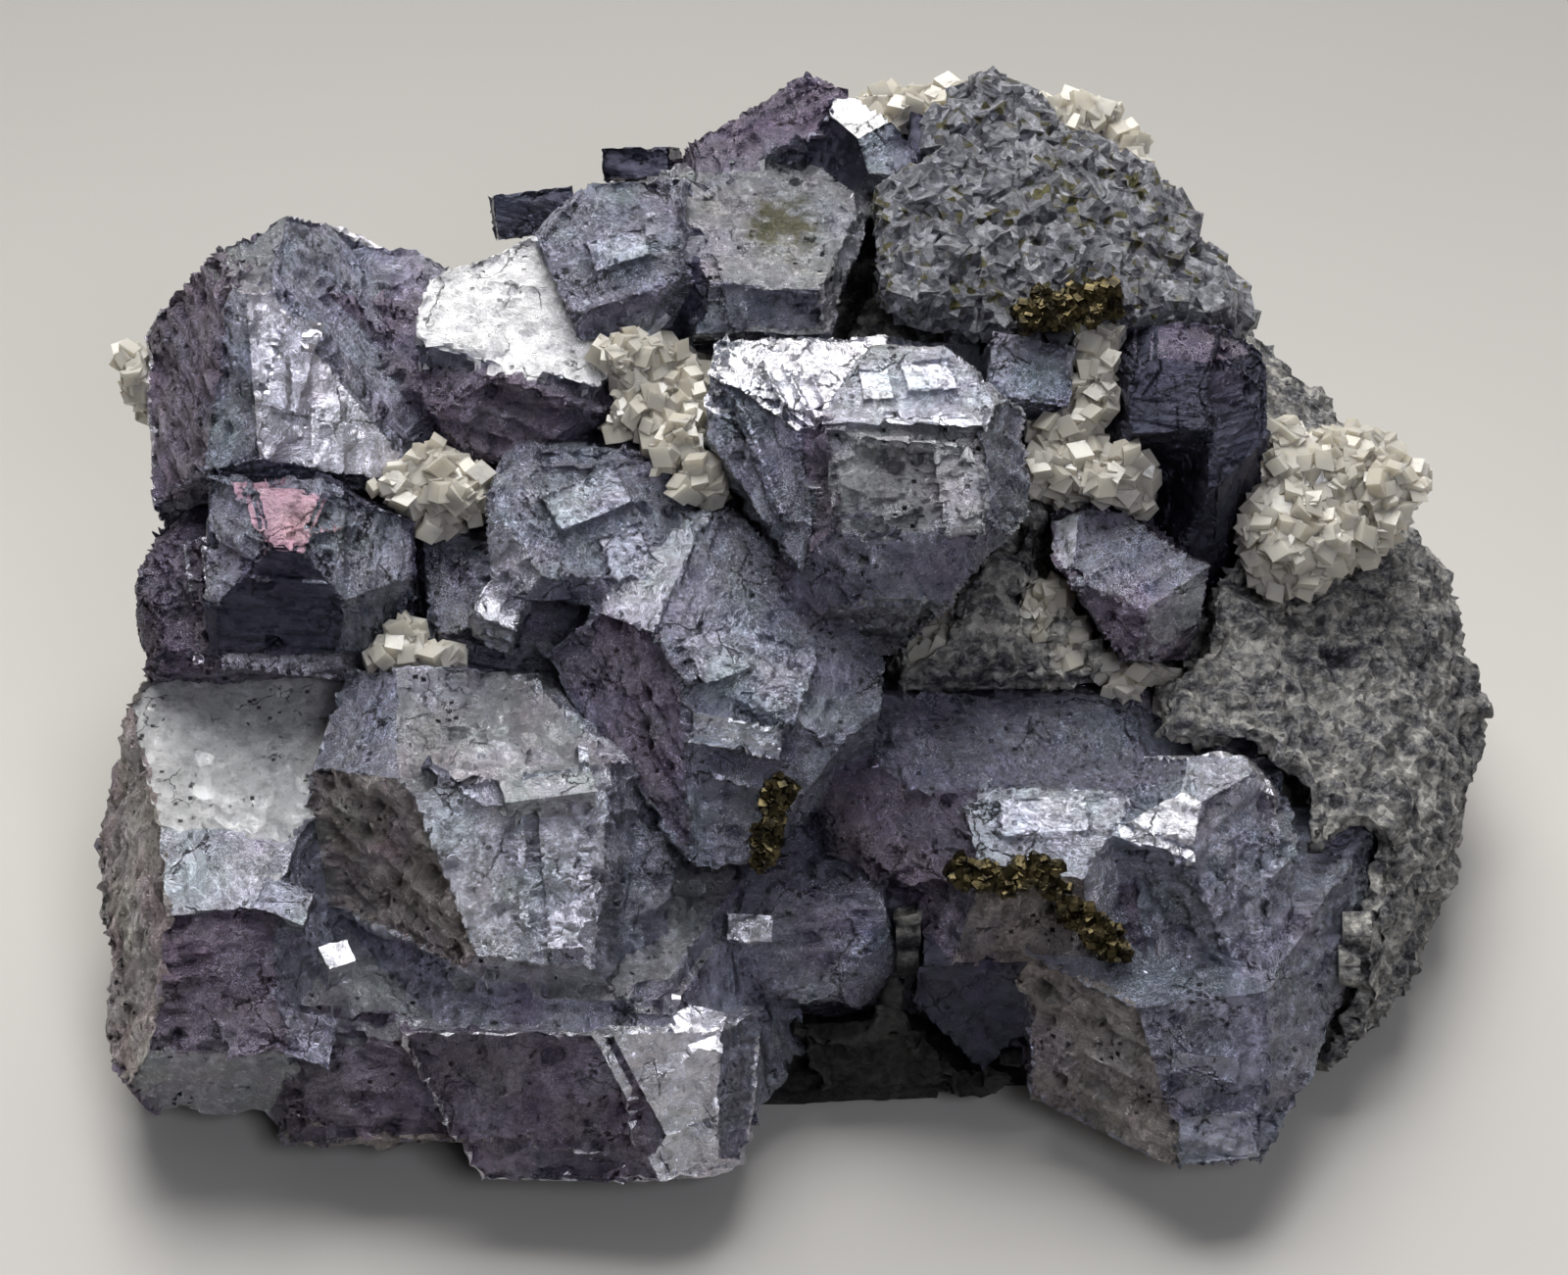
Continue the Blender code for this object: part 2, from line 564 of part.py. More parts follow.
def pyrite_crust(name, collection, grow=0.0):
    """A run of small overlapping cubes."""
    places, edge = PYRITE[name]
    chance = random.Random(len(name) * 17)
    shapes = []
    for x, y, out in places:
        size = edge * (0.95 + chance.random() * 0.35) + 2 * grow
        shape = bmesh.new()
        bmesh.ops.create_cube(shape, size=size)
        turn = Euler((chance.random() * 0.8 - 0.4, 0, chance.random() * 1.5)).to_matrix().to_4x4()
        shape.transform(Matrix.Scale(MM, 4) @ Matrix.Translation(on_side(x, y, out)) @ SIDE.to_4x4() @ turn)
        shapes.append(shape)
    first = new_object(name, shapes[0], collection)
    others = [new_object(name + "_part", shape, collection) for shape in shapes[1:]]
    return combine(first, others, "UNION")


def galena_clump(name, collection, grow=0.0):
    """The crystals of a clump joined in one solid."""
    crystals = GALENA[name]
    first = new_object(name, crystals[0].mesh(grow), collection)
    others = [new_object(name + "_part", crystal.mesh(grow), collection) for crystal in crystals[1:]]
    return combine(first, others, "UNION")


def cut_floor(piece, height):
    """Cuts a piece off flat at a height, in millimetres."""
    shape = bmesh.new()
    shape.from_mesh(piece.data)
    cut_off(shape, Vector((0, 0, height * MM)), Vector((0, 0, -1)))
    shape.to_mesh(piece.data)
    shape.free()
    return piece


def material(name, colour, metallic, roughness):
    """A plain Principled material, its colour given as an sRGB hex string."""
    made = bpy.data.materials.new(name)
    made.use_nodes = True
    shader = made.node_tree.nodes["Principled BSDF"]
    parts = [int(colour[i:i + 2], 16) / 255 for i in (1, 3, 5)]
    linear = [c / 12.92 if c <= 0.04045 else ((c + 0.055) / 1.055) ** 2.4 for c in parts]
    shader.inputs["Base Color"].default_value = (*linear, 1)
    shader.inputs["Metallic"].default_value = metallic
    shader.inputs["Roughness"].default_value = roughness
    return made


def coat(piece, made):
    """Gives a piece its only material."""
    piece.data.materials.clear()
    piece.data.materials.append(made)
    for face in piece.data.polygons:
        face.material_index = 0


def seam_cutters(collection, clumps):
    """Every crystal of some clumps, grown by the seam."""
    return [
        new_object("seam", crystal.mesh(SEAM), collection) for clump in clumps for crystal in GALENA[clump]
    ]


def build():
    """Makes every piece, from the crystals inwards, each one cut clear of those already made."""
    collection = bpy.data.collections.new("Galena specimen")
    bpy.context.scene.collection.children.link(collection)
    galena = material("galena", "#8C8A93", 1.0, 0.3)
    ore = material("massive_galena", "#6E6C70", 1.0, 0.45)
    rock = material("host_rock", "#77756C", 0.0, 0.85)
    calcite = material("calcite", "#D8D2BC", 0.0, 0.3)
    pyrite = material("pyrite", "#A08A45", 1.0, 0.35)

    clumps = list(GALENA)
    for number, name in enumerate(clumps):
        piece = galena_clump(name, collection)
        combine(piece, seam_cutters(collection, clumps[:number]), "DIFFERENCE")
        cut_floor(piece, FLOOR_CLEARANCE)
        keep_biggest(piece)
        coat(piece, galena)

    for name in PYRITE:
        piece = pyrite_crust(name, collection)
        combine(piece, seam_cutters(collection, clumps), "DIFFERENCE")
        keep_biggest(piece)
        coat(piece, pyrite)

    slope = lump("massive_ore", [on_side(*place) for place in ORE], collection, ORE_GRAIN, 0.5, 2)
    combine(slope, seam_cutters(collection, clumps), "DIFFERENCE")
    combine(slope, [pyrite_crust(name, collection, SEAM) for name in PYRITE], "DIFFERENCE")
    keep_biggest(slope)
    coat(slope, ore)

    for name in CALCITE:
        piece = calcite_crust(name, collection)
        combine(piece, seam_cutters(collection, clumps), "DIFFERENCE")
        combine(piece, [swollen(slope, SEAM * 1.3, collection)], "DIFFERENCE")
        keep_biggest(piece)
        coat(piece, calcite)

    base = lump("host_rock", [ROCK_ORIGIN + Vector(place) for place in ROCK], collection, ROCK_GRAIN, 0.8, 1)
    cut_floor(base, 0)
    combine(base, seam_cutters(collection, clumps), "DIFFERENCE")
    combine(base, [calcite_crust(name, collection, SEAM) for name in CALCITE], "DIFFERENCE")
    combine(base, [pyrite_crust(name, collection, SEAM) for name in PYRITE], "DIFFERENCE")
    combine(base, [swollen(slope, SEAM * 1.3, collection)], "DIFFERENCE")
    keep_biggest(base)
    coat(base, rock)


build()
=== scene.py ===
"""The looks of the galena specimen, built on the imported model.

Galena crystals are rebuilt facet by facet from the same table as the solids, with growth steps,
pits and tarnish. The rock and the ore get their grain, and the pockets their calcite. Places on the
display side are laid out on a grid, x to the right and y down, with out as the height above it in mm.
"""

import math
import random

import bmesh
import bpy
import numpy as np
from mathutils import Matrix, Vector


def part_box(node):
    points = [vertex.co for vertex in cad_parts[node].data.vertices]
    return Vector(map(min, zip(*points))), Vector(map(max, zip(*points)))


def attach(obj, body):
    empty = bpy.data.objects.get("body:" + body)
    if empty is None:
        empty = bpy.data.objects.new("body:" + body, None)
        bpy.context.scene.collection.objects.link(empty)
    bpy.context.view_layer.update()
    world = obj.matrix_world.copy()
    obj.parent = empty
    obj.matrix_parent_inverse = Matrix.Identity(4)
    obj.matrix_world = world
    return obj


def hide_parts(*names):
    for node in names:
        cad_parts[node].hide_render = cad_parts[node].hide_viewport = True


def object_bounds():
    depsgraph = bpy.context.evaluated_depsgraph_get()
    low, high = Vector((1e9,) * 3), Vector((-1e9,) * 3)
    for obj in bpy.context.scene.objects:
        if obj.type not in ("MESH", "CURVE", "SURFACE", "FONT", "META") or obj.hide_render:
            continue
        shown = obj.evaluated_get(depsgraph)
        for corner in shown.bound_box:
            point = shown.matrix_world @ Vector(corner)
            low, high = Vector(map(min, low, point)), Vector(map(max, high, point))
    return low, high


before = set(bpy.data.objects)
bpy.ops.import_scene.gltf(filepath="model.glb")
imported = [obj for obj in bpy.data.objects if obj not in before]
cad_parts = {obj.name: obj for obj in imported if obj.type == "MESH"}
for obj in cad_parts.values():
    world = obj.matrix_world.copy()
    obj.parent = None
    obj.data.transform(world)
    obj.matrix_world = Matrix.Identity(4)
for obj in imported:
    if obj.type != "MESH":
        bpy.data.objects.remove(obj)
cad_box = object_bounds()

MM = 0.001

# The display side, in millimetres and degrees, and the grid laid on it, as the solids have them
SLOPE = 48.0
SIDE_ORIGIN = Vector((-1.06, -4.60, 20.5))
GRID = 0.0514
GRID_CENTRE = (800, 650)
GRID_ACROSS = 1600
SIGHT = 260.0
FLOOR_CLEARANCE = 3.4

# Each facet's finish: colour, roughness, how pitted it is, how ribbed, how much it sparkles, and how
# far its reflections lean to the front. A colour's hue is the tarnish, but its lightness is partly
# painted light: the white, frost, silver and lilac colours are painted highlights on facets that catch
# the lamps, and night is painted shade on the darkest facets
FINISHES = {
    "white": ("#FBFAFC", 0.30, 0.6, 0.35, 0.25, 0.0),
    "lit_frost": ("#FFFFFF", 0.34, 0.9, 0.20, 0.40, 0.20),
    "silver": ("#E4E3EA", 0.22, 0.3, 0.45, 0.35, 0.0),
    "lilac": ("#DCDAE4", 0.20, 0.3, 0.30, 0.35, 0.0),
    "steel": ("#C4C6D0", 0.19, 0.5, 0.65, 0.60, 0.0),
    "ash": ("#C2C2C8", 0.27, 1.1, 0.60, 0.95, 0.0),
    "slate": ("#A4A6B4", 0.19, 0.7, 0.85, 0.85, 0.0),
    "dusk": ("#A4A4B4", 0.20, 0.7, 0.80, 0.85, 0.0),
    "violet": ("#928A9A", 0.22, 0.9, 0.80, 0.85, 0.0),
    "umber": ("#B8B0AF", 0.28, 1.1, 0.95, 1.0, 0.0),
    "night": ("#525262", 0.20, 0.5, 0.50, 0.55, 0.0),
    "rose": ("#C5A3B2", 0.32, 0.5, 0.30, 0.50, 0.0),
}


def side_axes():
    """The display side's across, up and out directions, as the columns of a matrix."""
    lean = math.radians(SLOPE)
    across = Vector((1, 0, 0))
    up = Vector((0, math.sin(lean), math.cos(lean)))
    out = Vector((0, -math.cos(lean), math.sin(lean)))
    return Matrix((across, up, out)).transposed()


SIDE = side_axes()


def on_side(x, y, out):
    """World place, in millimetres, of grid place (x, y) lying out from the display side."""
    scale = GRID * (1 - out / SIGHT)
    return SIDE_ORIGIN + SIDE @ Vector(((x - GRID_CENTRE[0]) * scale, (GRID_CENTRE[1] - y) * scale, out))


def seen_on(x, y, spot, normal):
    """World place where the line of sight through grid place (x, y) meets a plane."""
    eye = SIDE_ORIGIN + SIDE @ Vector((0, 0, SIGHT))
    ray = on_side(x, y, 0) - eye
    return eye + ray * ((spot - eye).dot(normal) / ray.dot(normal))


def looking(turn, tip):
    """Direction that looks turn degrees to the right and tip degrees up."""
    turn, tip = math.radians(turn), math.radians(tip)
    return Vector((math.sin(turn) * math.cos(tip), math.sin(tip), math.cos(turn) * math.cos(tip)))


def cut_off(shape, spot, normal):
    """Cuts off what lies beyond a plane and closes the cut."""
    everything = shape.verts[:] + shape.edges[:] + shape.faces[:]
    cut = bmesh.ops.bisect_plane(
        shape, geom=everything, dist=1e-6, plane_co=spot, plane_no=normal, clear_outer=True
    )
    edges = [item for item in cut["geom_cut"] if isinstance(item, bmesh.types.BMEdge)]
    if edges:
        bmesh.ops.edgeloop_fill(shape, edges=edges)


class Crystal:
    """A crystal of flat faces on the display side, depth mm from its front to its back.

    front is its first face, as (turn, tip, x, y, out). Each further face is (turn, tip, x, y), and
    meets the first face, or the earlier face that a fifth number names, at grid place (x, y).
    finish is the finish of its faces, and others gives other finishes by face number.
    """

    def __init__(self, finish, front, faces, depth, others=None, plates=6):
        turn, tip, x, y, out = front
        self.middle = on_side(x, y, out - depth / 2)
        self.reach = Vector((16, 16, depth / 2 + 4))
        self.faces = [(on_side(x, y, out), SIDE @ looking(turn, tip))]
        for turn, tip, x, y, *meets in faces:
            spot, normal = self.faces[meets[0] if meets else 0]
            self.faces.append((seen_on(x, y, spot, normal), SIDE @ looking(turn, tip)))
        self.faces.append((on_side(x, y, front[4] - depth), SIDE @ looking(180, 0)))
        self.finishes = [(others or {}).get(number, finish) for number in range(len(self.faces))]
        self.plates = plates

    def mesh(self, moves):
        """The crystal as a bmesh in millimetres, with each face moved out by its entry in moves."""
        shape = bmesh.new()
        bmesh.ops.create_cube(shape, size=2.0)
        for vert in shape.verts:
            vert.co = self.middle + SIDE @ Vector(vert.co[i] * self.reach[i] for i in range(3))
        for (spot, normal), move in zip(self.faces, moves):
            cut_off(shape, spot + normal * move, normal)
        return shape


class Cube:
    """A small cube of the given half sizes, its front face looking (turn, tip) and rolled."""

    def __init__(self, finish, face, half, facing, others=None, plates=2):
        turn, tip, roll = facing
        axes = (
            SIDE
            @ Matrix.Rotation(math.radians(turn), 3, "Y")
            @ Matrix.Rotation(math.radians(-tip), 3, "X")
            @ Matrix.Rotation(math.radians(roll), 3, "Z")
        )
        self.middle = on_side(*face) - axes @ Vector((0, 0, half[2]))
        self.faces = []
        for axis, sign in ((2, 1), (0, 1), (0, -1), (1, 1), (1, -1), (2, -1)):
            normal = axes.col[axis] * sign
            self.faces.append((self.middle + normal * half[axis], normal))
        self.finishes = [(others or {}).get(number, finish) for number in range(6)]
        self.plates = plates

    def mesh(self, moves):
        """The cube as a bmesh in millimetres, with each face moved out by its entry in moves."""
        shape = bmesh.new()
        bmesh.ops.create_cube(shape, size=24.0, matrix=Matrix.Translation(self.middle))
        for (spot, normal), move in zip(self.faces, moves):
            cut_off(shape, spot + normal * move, normal)
        return shape


# Clumps of intergrown galena, each with the faces of its crystals, as the solids have them
GALENA = {
    "galena_lower_left": [
        # the tall block at the left corner: its front, silvery slope, pitted top painted white as a
        # highlight, and stepped left side
        Crystal("violet", (3, -3, 250, 960, 6.0), [
            (0, 27, 250, 925), (2, 43, 250, 845, 1), (-64, 5, 160, 900, 1), (2, -56, 280, 1080),
            (-93, 22, 128, 705, 2), (0, 93, 250, 656, 2), (60, 0, 352, 780, 2), (-93, -9, 95, 960, 3),
            (-80, -40, 122, 1110, 3), (-93, 13, 92, 850, 3), (70, -10, 420, 1050), (0, -93, 280, 1156, 4),
        ], 14, {
            1: "steel", 2: "lit_frost", 3: "umber", 4: "ash", 5: "umber", 6: "umber", 7: "slate", 8: "umber",
        }, 8),
        # the broad blue-grey crystal beside it: its main face, dark left face and granular top
        Crystal("steel", (12, 4, 520, 860, 8.5), [
            (-46, -16, 432, 850), (4, 46, 520, 790), (62, -2, 622, 870), (4, -50, 540, 985),
            (-42, 36, 400, 760, 2), (0, 93, 470, 676, 2), (72, 52, 585, 725, 2), (-93, 14, 312, 770, 1),
            (-70, -58, 365, 945, 1),
        ], 14, {1: "umber", 2: "ash", 3: "slate", 4: "ash", 5: "slate"}, 9),
        Crystal("dusk", (-2, -12, 560, 1080, 6.5), [
            (0, 48, 560, 1010), (-50, -10, 470, 1090), (56, 0, 690, 1060), (0, -70, 560, 1135),
        ], 10, {1: "ash"}),
        # the layered ledge at the bottom
        Crystal("violet", (-6, -14, 400, 1110, 4.6), [
            (0, 45, 400, 1050), (-60, -10, 290, 1110), (0, -75, 400, 1172), (70, 0, 520, 1120),
        ], 9, {1: "ash", 3: "umber"}),
        Crystal("silver", (22, -10, 704, 1150, 6.2), [
            (-6, -24, 664, 1160), (66, -6, 740, 1110), (4, 82, 690, 1046), (0, -93, 640, 1216, 1),
            (-93, -24, 452, 1160, 1), (93, -5, 779, 1080, 2), (60, -60, 735, 1196, 2),
        ], 9, {1: "violet", 2: "slate"}),
        Crystal("slate", (30, 2, 645, 930, 5.0), [
            (-60, 0, 600, 930), (10, 76, 640, 850), (88, -10, 684, 960), (0, -70, 650, 1030),
        ], 9),
        Cube("silver", (721, 1048, 6.6), (1.2, 1.2, 1.6), (12, 16, -14)),
    ],
    "galena_centre_left": [
        # the big one in the middle of the display side
        Crystal("slate", (6, -10, 745, 790, 7.0), [
            (-44, -10, 694, 770), (22, 27, 760, 715), (-28, 40, 695, 575, 2), (0, 93, 703, 508, 2),
            (60, 60, 770, 530, 2), (93, 44, 835, 592, 2), (93, -5, 908, 690, 2), (74, -38, 835, 800),
            (0, -93, 740, 888), (-80, -36, 640, 806, 1), (-93, -30, 576, 712, 1), (-80, 42, 590, 632, 1),
        ], 13, {1: "violet", 2: "slate", 3: "steel"}, 9),
        Crystal("slate", (6, 22, 610, 530, 3.2), [
            (-32, -4, 520, 540), (4, -36, 600, 590), (70, 0, 698, 510), (0, 75, 600, 452),
            (-60, 50, 512, 478), (0, -93, 590, 620, 2), (-93, 0, 490, 565, 1), (62, -50, 665, 568),
            (74, 56, 682, 474),
        ], 9, {1: "steel", 2: "dusk"}, 8),
        Crystal("slate", (-28, 12, 455, 590, 1.0), [
            (30, 10, 480, 600), (-10, 70, 455, 552), (-80, 0, 428, 600), (0, -60, 460, 646),
        ], 8),
        Cube("steel", (512, 614, 3.2), (1.5, 1.4, 1.7), (8, 26, -24)),
    ],
    "galena_lower_right": [
        # the square face, painted bright as a highlight, with its striated top and dark right side
        Crystal("silver", (-16, 20, 1195, 843, 6.5), [
            (44, 2, 1222, 850), (16, 54, 1200, 798), (-34, -28, 1174, 864), (93, 0, 1312, 900, 1),
            (0, 93, 1240, 764, 2), (-93, -10, 1136, 890, 3), (0, -93, 1220, 1006, 1), (80, 40, 1300, 800, 1),
            (-52, 50, 1172, 820),
        ], 11, {1: "dusk", 2: "steel", 3: "slate", 9: "slate"}, 7),
        # the broad light face, with its steep lower side
        Crystal("steel", (-2, 22, 1060, 845, 5.6), [
            (-4, -26, 1040, 893), (-58, 0, 985, 840), (50, -10, 1134, 850), (0, 72, 1060, 797),
            (0, -93, 1020, 990, 1), (-80, -8, 914, 950, 1), (80, -10, 1145, 960, 1), (-76, 50, 990, 812),
        ], 10, {1: "umber", 4: "dusk", 2: "violet"}),
        # the smooth face under it, painted dark as the shade that it reflects
        Crystal("night", (0, -46, 1010, 1035, 1.6), [
            (-4, 50, 1010, 984), (-93, -42, 945, 1045), (93, -38, 1068, 1034), (-4, -93, 990, 1098),
            (-93, 10, 929, 1006),
        ], 7, None, 2),
        Crystal("slate", (2, -2, 1235, 950, 4.6), [
            (-40, -10, 1160, 950), (52, 0, 1300, 950), (0, -50, 1235, 1015), (0, 60, 1235, 860),
            (93, 0, 1330, 960, 2),
        ], 10, {1: "violet"}),
        Crystal("dusk", (8, -15, 1240, 1130, 5.0), [
            (-36, -24, 1176, 1090), (56, -6, 1300, 1110), (0, 44, 1230, 1018), (0, -93, 1240, 1199),
            (-74, -60, 1118, 1160, 1), (-93, -5, 1043, 1090, 1), (93, -30, 1325, 1140, 2),
        ], 9, {1: "umber", 2: "slate", 3: "slate"}, 7),
        # the radiating ridge above
        Crystal("dusk", (2, 36, 1030, 760, 1.8), [
            (-48, 10, 905, 750), (58, 10, 1155, 765), (0, 82, 1030, 700), (0, -44, 1030, 806),
        ], 8),
        Crystal("violet", (-14, 6, 915, 850, 3.4), [
            (-76, -14, 838, 840), (70, 0, 1000, 850), (0, 60, 920, 797), (0, -70, 930, 905),
            (-70, -50, 860, 890),
        ], 8),
    ],
    "galena_lower_middle": [
        Crystal("dusk", (-6, -6, 820, 960, 2.2), [
            (0, 50, 820, 905), (-74, 10, 742, 950), (72, 10, 912, 960), (0, -78, 830, 1026),
            (-60, -40, 760, 1000), (40, -36, 880, 985),
        ], 8, {5: "violet"}),
        Cube("silver", (765, 945, 3.2), (1.4, 0.9, 1.4), (-4, 12, -2)),
    ],
    "galena_centre_pair": [
        # the rounded crystal on the right
        Crystal("ash", (2, 8, 925, 480, 8.0), [
            (4, 48, 920, 432), (4, -30, 930, 545), (62, 8, 1012, 470), (-60, 0, 842, 470),
            (44, -34, 1000, 545), (-36, -34, 868, 552), (0, 93, 930, 344, 1), (0, -76, 930, 622, 2),
            (93, 0, 1056, 460, 3), (50, 46, 992, 405), (-93, 30, 832, 420, 4), (93, -40, 1040, 550, 3),
            (93, 52, 1014, 378, 1), (-70, 62, 868, 358, 1),
        ], 12, {1: "steel", 2: "dusk", 3: "slate", 4: "violet", 5: "dusk", 6: "dusk", 10: "ash"}, 9),
        # its flatter partner on the left
        Crystal("slate", (-32, -4, 775, 470, 5.2), [
            (50, 0, 822, 480), (12, 44, 800, 412), (-12, 50, 752, 392), (-93, 6, 716, 400),
            (-80, -30, 765, 520), (0, -93, 822, 590), (0, 93, 790, 334, 2), (-60, 70, 735, 345, 3),
        ], 10, {2: "silver", 3: "silver", 8: "silver", 1: "dusk"}, 8),
    ],
    "galena_right_middle": [
        Crystal("violet", (-22, -20, 1172, 622, 4.0), [
            (8, 42, 1172, 622), (46, -16, 1172, 622), (-32, 42, 1098, 548, 1), (-93, -5, 1073, 600),
            (-70, -50, 1098, 655), (0, -93, 1150, 683), (93, -8, 1236, 605, 2), (72, -45, 1210, 655, 2),
            (80, 58, 1190, 543, 1), (-70, 65, 1084, 522, 3), (-93, -34, 1060, 560, 3),
        ], 8, {1: "dusk", 2: "ash", 3: "steel"}, 7),
    ],
    "galena_right": [
        Crystal("night", (-4, 6, 1192, 400, 1.6), [
            (4, 58, 1190, 362), (0, 93, 1200, 326, 1), (-76, 0, 1149, 390), (76, 0, 1238, 390),
            (0, -70, 1192, 442), (-50, 50, 1160, 368),
        ], 7, {1: "violet"}),
        Crystal("night", (28, 6, 1262, 410, 0.4), [
            (0, 60, 1262, 358), (-70, 0, 1232, 410), (93, 0, 1300, 400), (20, -50, 1255, 500),
            (60, -30, 1285, 460), (0, 93, 1262, 336, 1), (93, 50, 1290, 350, 1),
        ], 7, {1: "violet"}),
        Cube("dusk", (1054, 375, 0.6), (2.4, 1.9, 2.6), (10, 14, -10)),
    ],
    "galena_left": [
        # the smooth face painted dark as the shade that it reflects, and the little face above it
        Crystal("night", (-5, -34, 285, 620, 4.2), [
            (0, 23, 290, 563), (40, 4, 330, 520, 1), (-42, 6, 258, 520, 1), (52, -30, 354, 618),
            (-52, -24, 214, 612), (0, -93, 300, 672), (0, 76, 305, 490, 1), (93, 0, 428, 560, 2),
            (-93, 0, 205, 545, 3), (80, 62, 388, 512, 2),
        ], 9, {1: "rose", 2: "slate", 3: "dusk", 4: "slate", 7: "dusk"}, 5),
        Crystal("violet", (-18, 8, 185, 612, 0.6), [
            (30, 14, 208, 620), (-93, 2, 127, 620), (0, 62, 170, 545), (0, -76, 170, 684),
            (-60, -20, 150, 650), (-70, 50, 148, 560),
        ], 8, {1: "lilac"}),
    ],
    "galena_upper_left": [
        # the big crystal at the left end: front painted pale as a highlight, narrow edge face, dark left
        # face, rough top
        Crystal("lilac", (22, -2, 305, 390, 2.4), [
            (-25, -5, 258, 400), (-58, 3, 212, 400, 1), (12, 50, 275, 294), (62, 27, 335, 365),
            (0, -70, 300, 478), (-93, 55, 216, 246, 2), (-93, -6, 148, 440, 2), (0, 93, 285, 213, 3),
            (80, 62, 332, 226, 3), (-93, 32, 150, 324, 2),
        ], 12, {1: "slate", 2: "violet", 3: "ash", 4: "dusk", 5: "dusk", 6: "violet"}, 6),
        Crystal("violet", (30, -6, 350, 345, -2.6), [
            (-70, 0, 292, 340), (93, 30, 392, 340), (10, -60, 355, 398), (0, 93, 345, 290),
        ], 8),
        Crystal("dusk", (10, 22, 405, 270, -7.5), [
            (0, 93, 400, 247), (93, 12, 463, 280), (-93, 0, 345, 270), (0, -50, 400, 302),
            (93, 62, 436, 256),
        ], 8),
        Crystal("violet", (-10, 10, 430, 345, -3.0), [
            (0, 60, 430, 312), (80, 0, 470, 345), (-76, 0, 392, 345), (0, -60, 430, 378),
            (0, 93, 430, 296, 1),
        ], 8),
        # the top painted white as a highlight, and the purple faces under it
        Crystal("white", (2, 27, 530, 320, -1.2), [
            (-93, 66, 470, 265), (-30, -52, 520, 379), (93, -42, 618, 400), (80, 60, 600, 270),
            (-93, 10, 430, 290),
        ], 8, {2: "dusk"}),
        Crystal("violet", (-8, -22, 530, 430, 0.3), [
            (28, 50, 548, 394), (-76, -32, 435, 422), (72, -60, 575, 448), (0, -93, 500, 477),
            (-30, 20, 470, 400), (0, 88, 470, 372, 5), (-70, 30, 420, 380, 5),
        ], 8),
    ],
    "galena_top": [
        Crystal("slate", (-14, 27, 625, 255, -0.8), [
            (6, -32, 640, 302), (-82, -19, 560, 285), (-80, 41, 573, 208), (0, 93, 645, 176),
            (78, 6, 700, 230), (0, -93, 620, 354, 1), (70, -40, 680, 310, 1),
        ], 10, {1: "dusk"}, 8),
        Crystal("ash", (4, 36, 790, 235, -2.2), [
            (0, -20, 780, 290), (-60, 0, 703, 250), (60, 0, 862, 250), (0, 82, 780, 168),
            (-54, 60, 715, 190), (0, -78, 770, 345, 1), (-93, 0, 645, 260, 2), (54, 56, 850, 190),
            (93, -20, 884, 260, 3),
        ], 10, {1: "dusk", 2: "night"}, 8),
        Crystal("violet", (-18, 30, 770, 135, -8.0), [
            (-93, 59, 765, 100), (-82, -5, 703, 160), (60, -66, 770, 165), (93, 60, 846, 76),
            (93, -20, 862, 110),
        ], 7, {3: "dusk"}),
        Crystal("slate", (20, 5, 912, 155, -5.6), [
            (-2, 38, 892, 130), (-46, -12, 880, 160), (66, 15, 940, 160), (20, -60, 905, 180),
            (0, 93, 870, 94, 1), (-93, 20, 832, 125, 2), (93, 48, 918, 124, 3),
        ], 7, {1: "white", 2: "night", 0: "slate"}),
        Cube("night", (547, 216, -12.6), (2.4, 1.4, 2.4), (6, -4, 8)),
        Cube("night", (648, 166, -14.5), (2.1, 1.1, 2.4), (-8, -4, 2)),
        Cube("night", (980, 138, -9.5), (2.9, 1.4, 2.4), (4, 12, -4)),
    ],
}


def plate_on(crystal, number, finish, place, half, lift, roll):
    """A thin growth plate lying on a face of a crystal at a grid place, standing lift out of it."""
    spot, normal = crystal.faces[number]
    local = SIDE.transposed() @ normal
    turn = math.degrees(math.atan2(local.x, local.z))
    tip = math.degrees(math.asin(local.y))
    out = (seen_on(*place, spot, normal) - SIDE_ORIGIN).dot(SIDE.col[2])
    return Cube(finish, (*place, out + lift), (*half, 0.8), (turn, tip, roll), None, 1)


